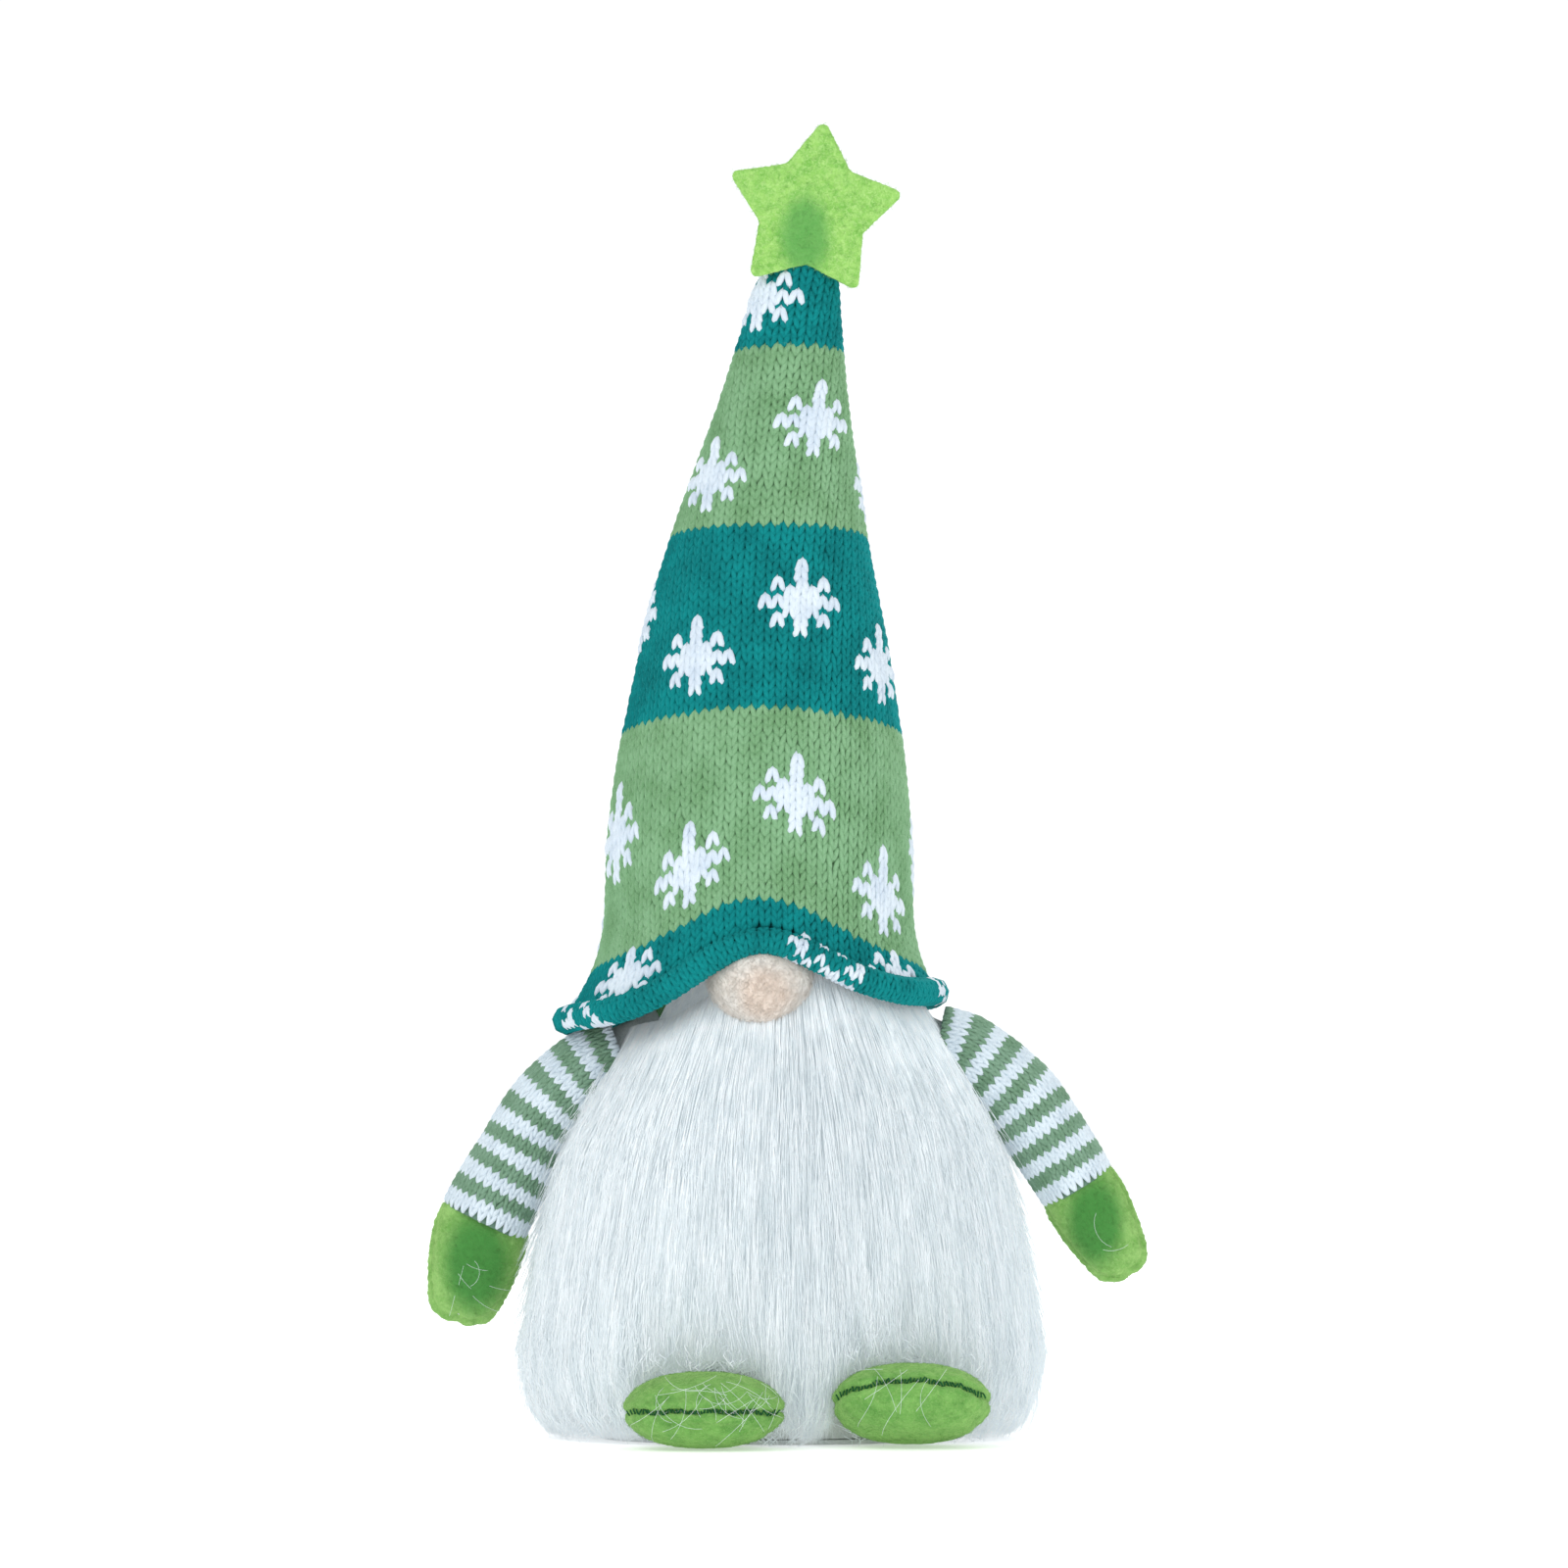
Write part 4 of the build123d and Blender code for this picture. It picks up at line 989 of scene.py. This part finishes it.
for side, shoe in shoes.items():
    rows, columns = 26, 48
    alongShare = np.linspace(0, 1, rows) ** 0.8
    turn = np.linspace(0, 2 * math.pi, columns + 1)[:-1]
    width = np.interp(alongShare, shoeShape["along"], shoeShape["width"]) * shoe["halfWidth"] * 0.985
    tall = np.interp(alongShare, shoeShape["along"], shoeShape["height"]) * shoeShape["tall"] / 2 * 0.97
    wide = np.sign(np.cos(turn))[None] * np.abs(np.cos(turn))[None] ** 0.88 * width[:, None]
    up = np.sign(np.sin(turn))[None] * np.abs(np.sin(turn))[None] ** 0.94 * tall[:, None]
    middleZ = shoe["hinge"][1] - 9.0 + shoeShape["tall"] / 2
    x = shoe["x"] + wide
    y = shoe["heel"] - alongShare[:, None] * (shoeShape["length"] - 1.2) + 0 * wide
    flat = np.stack([x, y, middleZ + up], axis=-1)
    heel = [shoe["x"], shoe["heel"], middleZ]
    toe = [shoe["x"], shoe["heel"] - shoeShape["length"] + 0.9, middleZ]
    points = np.concatenate([flat.reshape(-1, 3), [heel, toe]]) * mm
    shoePiece = placeMesh("shoe" + side.capitalize(), points, closedSkin(rows, columns, turned=True), [])
    puffUp(shoePiece, 3.0, 0.7 * mm)
    points, normals = meshPoints(shoePiece) / mm, meshNormals(shoePiece)

    def seamHeight(x, shoe=shoe, middleZ=middleZ):
        sideways = x - shoe["x"]
        rise = shoe["seamRise"] - shoe["seamArch"] * (sideways / shoe["halfWidth"]) ** 2
        return middleZ + rise + 0.3 * np.sin(sideways * 0.55) + 0.16 * np.sin(sideways * 1.7 + 1)

    off = points[:, 2] - seamHeight(points[:, 0])
    front = smoothStep(-0.05, 0.25, (shoe["heel"] - points[:, 1]) / shoeShape["length"])
    wave = 0.75 + 0.25 * np.sin(2 * math.pi * points[:, 0] / shoeStitch["pitch"])
    groove = -shoeStitch["depth"] * np.exp(-(off / 0.6) ** 2) * wave
    groove += 0.55 * np.exp(-((np.abs(off) - 2.3) / 1.3) ** 2)
    points += normals * (groove * front)[:, None]
    points[:, 1] -= 0.8 * smoothStep(0.93, 0.985, (shoe["heel"] - points[:, 1]) / shoeShape["length"])
    fold = 0.5 * np.exp(-((off + 4.5 + 0.12 * (points[:, 0] - shoe["x"])) / 1.2) ** 2) * (off < 0)
    points -= normals * fold[:, None]
    hingeY, hingeZ = shoe["hinge"]
    tilt = math.radians(shoe["tilt"])

    def tiltUp(places, hingeY=hingeY, hingeZ=hingeZ, tilt=tilt):
        dy, dz = places[..., 1] - hingeY, places[..., 2] - hingeZ
        made = places.copy()
        made[..., 1] = hingeY + dy * math.cos(tilt) + dz * math.sin(tilt)
        made[..., 2] = hingeZ - dy * math.sin(tilt) + dz * math.cos(tilt)
        return made

    # stitches pull the two lips together along the seam
    span = np.arange(-0.93, 0.94, shoeStitch["pitch"] / shoe["halfWidth"] * 0.5)
    nearest = []
    for share in span:
        x = shoe["x"] + share * shoe["halfWidth"]
        close = (np.abs(points[:, 0] - x) < 1.0) & (np.abs(off) < 1.2) & (normals[:, 1] < 0)
        nearest.append((x, points[close, 1].min() if close.any() else np.nan))
    nearest = np.array(nearest)
    nearest = nearest[~np.isnan(nearest[:, 1])]
    threadPaths = []
    for x, y in nearest:
        z = float(seamHeight(x))
        lean = rng.uniform(-0.5, 0.5)
        tall = rng.uniform(0.45, 0.85)
        threadPaths.append([(x + lean * share, y + behind, z - tall * share) for share, behind in
                            ((-1, 1.0), (-0.5, 0.3), (0, 0.15), (0.5, 0.3), (1, 1.0))])
    threadPaths = tiltUp(np.array(threadPaths)) * mm
    radii = np.full(threadPaths.shape[:2], 0.27 * mm)
    facing = np.broadcast_to([0.1, -1.0, 0.0], threadPaths.shape)
    thread = placeStrands("seamStitches" + side.capitalize(), threadPaths, radii, 6, facing, seamThread,
                          "foot_" + side)
    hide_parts("seam_thread_" + side)
    points = tiltUp(points)
    points[:, 2] = np.maximum(points[:, 2], 0.4)
    setPoints(shoePiece, points * mm)
    roughen(shoePiece, 0.0016, 0.0006)
    shoePiece.data.materials.clear()
    shoePiece.data.materials.append(shoeFelt)
    settle(shoePiece, "foot_" + side, "shoe_felt", "shoe_upper_" + side, "shoe_sole_" + side)
    standingFibres("shoeFibres" + side.capitalize(), shoePiece, 3600, 1.8, shoeFelt, "foot_" + side,
                   pick=lambda middles: middles[:, 2] > 0.002)

    # beard hairs that cling to the toe
    share = np.linspace(0, 1, 9)
    aim = rng.normal(-1.5, 0.8, (shoe["hairs"], 1)) + rng.normal(0, 0.9, (shoe["hairs"], 1)) * share
    reach = rng.uniform(8, 22, (shoe["hairs"], 1)) / len(share)
    sideways = rng.uniform(-0.7, 0.95, (shoe["hairs"], 1))
    sideways = sideways + np.cumsum(np.cos(aim) * reach, axis=1) / shoe["halfWidth"]
    upward = rng.uniform(0.35, 0.85, (shoe["hairs"], 1)) + np.cumsum(np.sin(aim) * reach, axis=1) / 12
    size = np.hypot(sideways, upward)
    held = np.minimum(1, 0.96 / size)
    sideways, upward, size = sideways * held, upward * held, size * held
    along = np.interp(size, [0.26, 0.54, 0.74, 0.90, 1.0], [1.0, 0.96, 0.90, 0.80, 0.60])
    cling = np.stack([shoe["x"] + sideways * shoe["halfWidth"] * 1.02,
                      shoe["heel"] - along * shoeShape["length"] - 1.0,
                      middleZ + upward * shoeShape["tall"] * 0.53], axis=-1)
    radii = np.full(cling.shape[:2], 0.05 * mm)
    facing = np.broadcast_to([0.0, -1.0, 0.3], cling.shape)
    placeStrands("shoeHairs" + side.capitalize(), tiltUp(cling) * mm, radii, 3, facing, beardFur, "foot_" + side)
print("shoes sewn")

# body and beard
cover = {"outline": [(57, 1.5), (61, 14.5), (62, 40), (55, 75), (41, 112), (32, 146), (23, 160), (12, 168.6),
                     (0, 172)]}
coverLine = np.array(cover["outline"], float)
coverZ = np.concatenate([[1.5, 1.7], np.linspace(2.2, 160, 108), np.linspace(161, 171.6, 14)])
coverR = np.interp(coverZ, coverLine[:, 1], coverLine[:, 0])
coverR[7:-7] = eased(coverR, 15, "edge")[7:-7]
around = 150
turn = np.linspace(0, 2 * math.pi, around + 1)[:-1]
skin = np.stack([(coverR[:, None] - 0.4) * np.sin(turn), -(coverR[:, None] - 0.4) * np.cos(turn),
                 coverZ[:, None] + 0 * turn], axis=-1).reshape(-1, 3)
skin = np.concatenate([skin, [(0, 0, 1.5), (0, 0, 171.9)]]) * mm
bodyCover = placeMesh("bodyCover", skin, closedSkin(len(coverZ), around), [])
finer = bodyCover.modifiers.new("finer", "SUBSURF")
finer.levels = finer.render_levels = 1
applyModifiers(bodyCover)
roughen(bodyCover, 0.0035, 0.0012)
bodyCover.data.materials.append(plushWhite)
settle(bodyCover, "torso", "fleece", "body_cover", "body_filling")
standingFibres("bodyPlush", bodyCover, 7600, 4.2, beardFur, "torso", thick=0.16, lean=0.8,
               pick=lambda middles: (middles[:, 1] > -0.022) & (middles[:, 2] > 0.005))

beard = {
    "pile": [(72, 0.5), (78, 9), (82, 26), (78, 55), (70.5, 88), (61.5, 112), (53, 126), (46, 136), (39, 147),
             (34, 156)],
    "lowSpread": 104.0, "highSpread": 84.0, "lowUntil": 48.0, "highFrom": 74.0,
    "clumps": 2700, "perClump": 15, "groups": 8, "thick": 0.165, "longest": 112.0, "shortest": 74.0,
}
pileLine = np.array(beard["pile"], float)


def pileAt(z):
    return np.interp(z, pileLine[:, 1], pileLine[:, 0])


def coverAt(z):
    return np.interp(z, coverZ, coverR)


def spreadAt(z):
    high = smoothStep(beard["lowUntil"], beard["highFrom"], z)
    return np.radians(beard["lowSpread"] * (1 - high) + beard["highSpread"] * high)


# how low the fur may fall: to the floor, or onto a shoe
def restingHeight(x, y):
    height = 0 * x + 0.5
    for side, shoe in shoes.items():
        off = (x - shoe["x"]) / (shoe["halfWidth"] + 0.5)
        rise = (23.5 + 2.2 * (shoe["tilt"] > 0)) * np.sqrt(np.clip(1 - off ** 2, 0, 1)) ** 0.75
        height = np.where((np.abs(off) < 1) & (y < -30), np.maximum(height, rise + 0.5), height)
    return height


# a soft mass under the strands
turns = np.linspace(-1, 1, 121)
levels = np.linspace(0, 1, 60)
outerRows = []
for level in levels:
    z = 5.0 + level * 143
    angle = turns * spreadAt(z) * 0.94
    full = 0.84 * (1 - np.abs(turns) ** 10) * (0.55 + 0.45 * smoothStep(4, 26, z))
    full = full * (1 - 0.45 * smoothStep(112, 140, z))
    radius = coverAt(z) + (pileAt(z) - coverAt(z)) * full
    x, y = radius * np.sin(angle), -radius * np.cos(angle)
    lowest = np.maximum(5.0, restingHeight(x, y) + 5)
    outerRows.append(np.stack([x, y, np.maximum(z, lowest * (1 - level) + z * level)], axis=-1))
outerRows = np.array(outerRows)
innerRows = outerRows.copy()
innerZ = innerRows[..., 2]
innerAngle = np.arctan2(innerRows[..., 0], -innerRows[..., 1])
innerRadius = coverAt(innerZ) + 0.1
innerRows[..., 0], innerRows[..., 1] = innerRadius * np.sin(innerAngle), -innerRadius * np.cos(innerAngle)
mass = np.concatenate([outerRows, innerRows[:, ::-1]], axis=1)
wide = mass.shape[1]
massFaces = skinFaces(len(levels), wide)
lowCap = [(column, wide - 1 - column, wide - 2 - column, column + 1) for column in range(len(turns) - 1)]
base = (len(levels) - 1) * wide
highCap = [(base + column, base + column + 1, base + wide - 2 - column, base + wide - 1 - column)
           for column in range(len(turns) - 1)]
beardMass = placeMesh("beardMass", mass.reshape(-1, 3) * mm, [massFaces + lowCap + highCap], [beardRoot])
settle(beardMass, "torso", "fur", "beard_pile")

clumpZ = 6 + 145 * rng.uniform(0, 1, beard["clumps"]) ** 0.85
clumpTurn = rng.uniform(-1, 1, beard["clumps"])
clump = np.repeat(np.arange(beard["clumps"]), beard["perClump"])
count = len(clump)
rootZ = np.clip(clumpZ[clump] + rng.normal(0, 3.0, count), 3, 152)
homeAngle = clumpTurn[clump] * spreadAt(rootZ)
rootAngle = homeAngle + rng.normal(0, 3.2, count) / pileAt(rootZ)
roof = hemHeight(rootAngle) - 2.5
rootZ = np.minimum(rootZ, roof)
fall = rng.uniform(beard["shortest"], beard["longest"], beard["clumps"])[clump] * rng.uniform(0.85, 1.05, count)
layer = np.clip(rng.normal(0.90, 0.10, beard["clumps"])[clump] + rng.normal(0, 0.03, count), 0.62, 1.04)
# the pile's side edges show their whole depth
edge = np.abs(clumpTurn[clump]) > 0.93
layer = np.where(edge, rng.uniform(0.1, 0.98, count), layer)
bend = rng.normal(0, 0.035, beard["clumps"])[clump] + rng.normal(0, 0.012, count)
wave = rng.uniform(0, 2 * math.pi, count)
pathSteps = np.array([0, 0.10, 0.26, 0.48, 0.74, 1.0])
endX = pileAt(20.0) * np.sin(homeAngle)
endY = -pileAt(20.0) * np.cos(homeAngle)
floorRest = restingHeight(endX, endY) + rng.gamma(1.6, 3.2, count)
endZ = np.maximum(rootZ - fall, np.minimum(floorRest, rootZ - 4))
paths = []
for share in pathSteps:
    z = rootZ + (endZ - rootZ) * share
    grown = np.maximum(smoothStep(-0.25, 0.42, share), 0.9 * smoothStep(104, 138, rootZ))
    gather = 0.62 * share ** 1.5
    angle = rootAngle * (1 - gather) + homeAngle * gather + bend * share ** 2 + 0.010 * np.sin(wave + 5 * share)
    waver = 1.2 * math.sin(3 * share) * rng.normal(0, 0.4, count)
    radius = coverAt(z) + (pileAt(z) - coverAt(z)) * layer * grown + waver
    radius = np.minimum(radius, pileAt(z) * 1.03)
    paths.append(np.stack([radius * np.sin(angle), -radius * np.cos(angle), z], axis=-1))
paths = np.stack(paths, axis=1)
thickness = beard["thick"] * np.array([0.9, 1.0, 1.0, 0.85, 0.55, 0.12]) * rng.uniform(0.7, 1.3, (count, 1))
outs = unit(paths * [1, 1, 0])
order = np.argsort(homeAngle)
for group, members in enumerate(np.array_split(order, beard["groups"])):
    placeStrands("beardLocks" + "ABCDEFGH"[group], paths[members] * mm, thickness[members] * mm, 3, outs[members],
                 beardFur, "torso")
print("beard grown")

# stray hairs that fell across the shoes and out at the sides
strays = {"count": 3400, "thick": 0.085, "flare": 7.0}
strayAngle = rng.choice([-1, 1], strays["count"]) * rng.uniform(0.1, 1.0, strays["count"]) ** 0.5 * spreadAt(30)
strayZ = rng.uniform(24, 118, strays["count"])
strayAngle = np.clip(strayAngle, -spreadAt(strayZ), spreadAt(strayZ))
flare = rng.gamma(1.2, 0.32, strays["count"]).clip(0, 1) * strays["flare"]
strayEnd = np.maximum(strayZ - rng.uniform(15, 45, strays["count"]), 1.5)
curl = rng.normal(0, 0.16, strays["count"])
paths = []
for share in np.linspace(0, 1, 7):
    z = strayZ + (strayEnd - strayZ) * share
    radius = pileAt(z) * 0.98 + flare * share ** 1.5
    angle = strayAngle + curl * share ** 1.6
    paths.append(np.stack([radius * np.sin(angle), -radius * np.cos(angle), z], axis=-1))
paths = np.stack(paths, axis=1)
radii = np.tile(strays["thick"] * np.array([1, 1, 1, 1, 0.9, 0.7, 0.3]), (strays["count"], 1))
placeStrands("strayHairs", paths * mm, radii * mm, 3, unit(paths * [1, 1, 0]), beardFur, "torso")

# parts kept from the drawing
kept = {
    "base_panel": plushWhite, "base_board": cardBoard, "ballast_bag": plushWhite, "ballast_pellets": pelletBeads,
    "beard_backing": plushWhite, "tip_tie": tieThread,
    "arm_tab_left": plushWhite, "arm_tab_right": plushWhite, "arm_filling_left": stuffingFluff,
    "arm_filling_right": stuffingFluff, "ankle_left": shoeFelt, "ankle_right": shoeFelt,
    "shoe_filling_left": stuffingFluff, "shoe_filling_right": stuffingFluff,
}
for name, finish in kept.items():
    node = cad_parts[name]
    if not node.data.materials:
        node.data.materials.append(finish)
    for place in node.material_slots:
        place.link = "OBJECT"
        place.material = finish
print("kept parts finished")
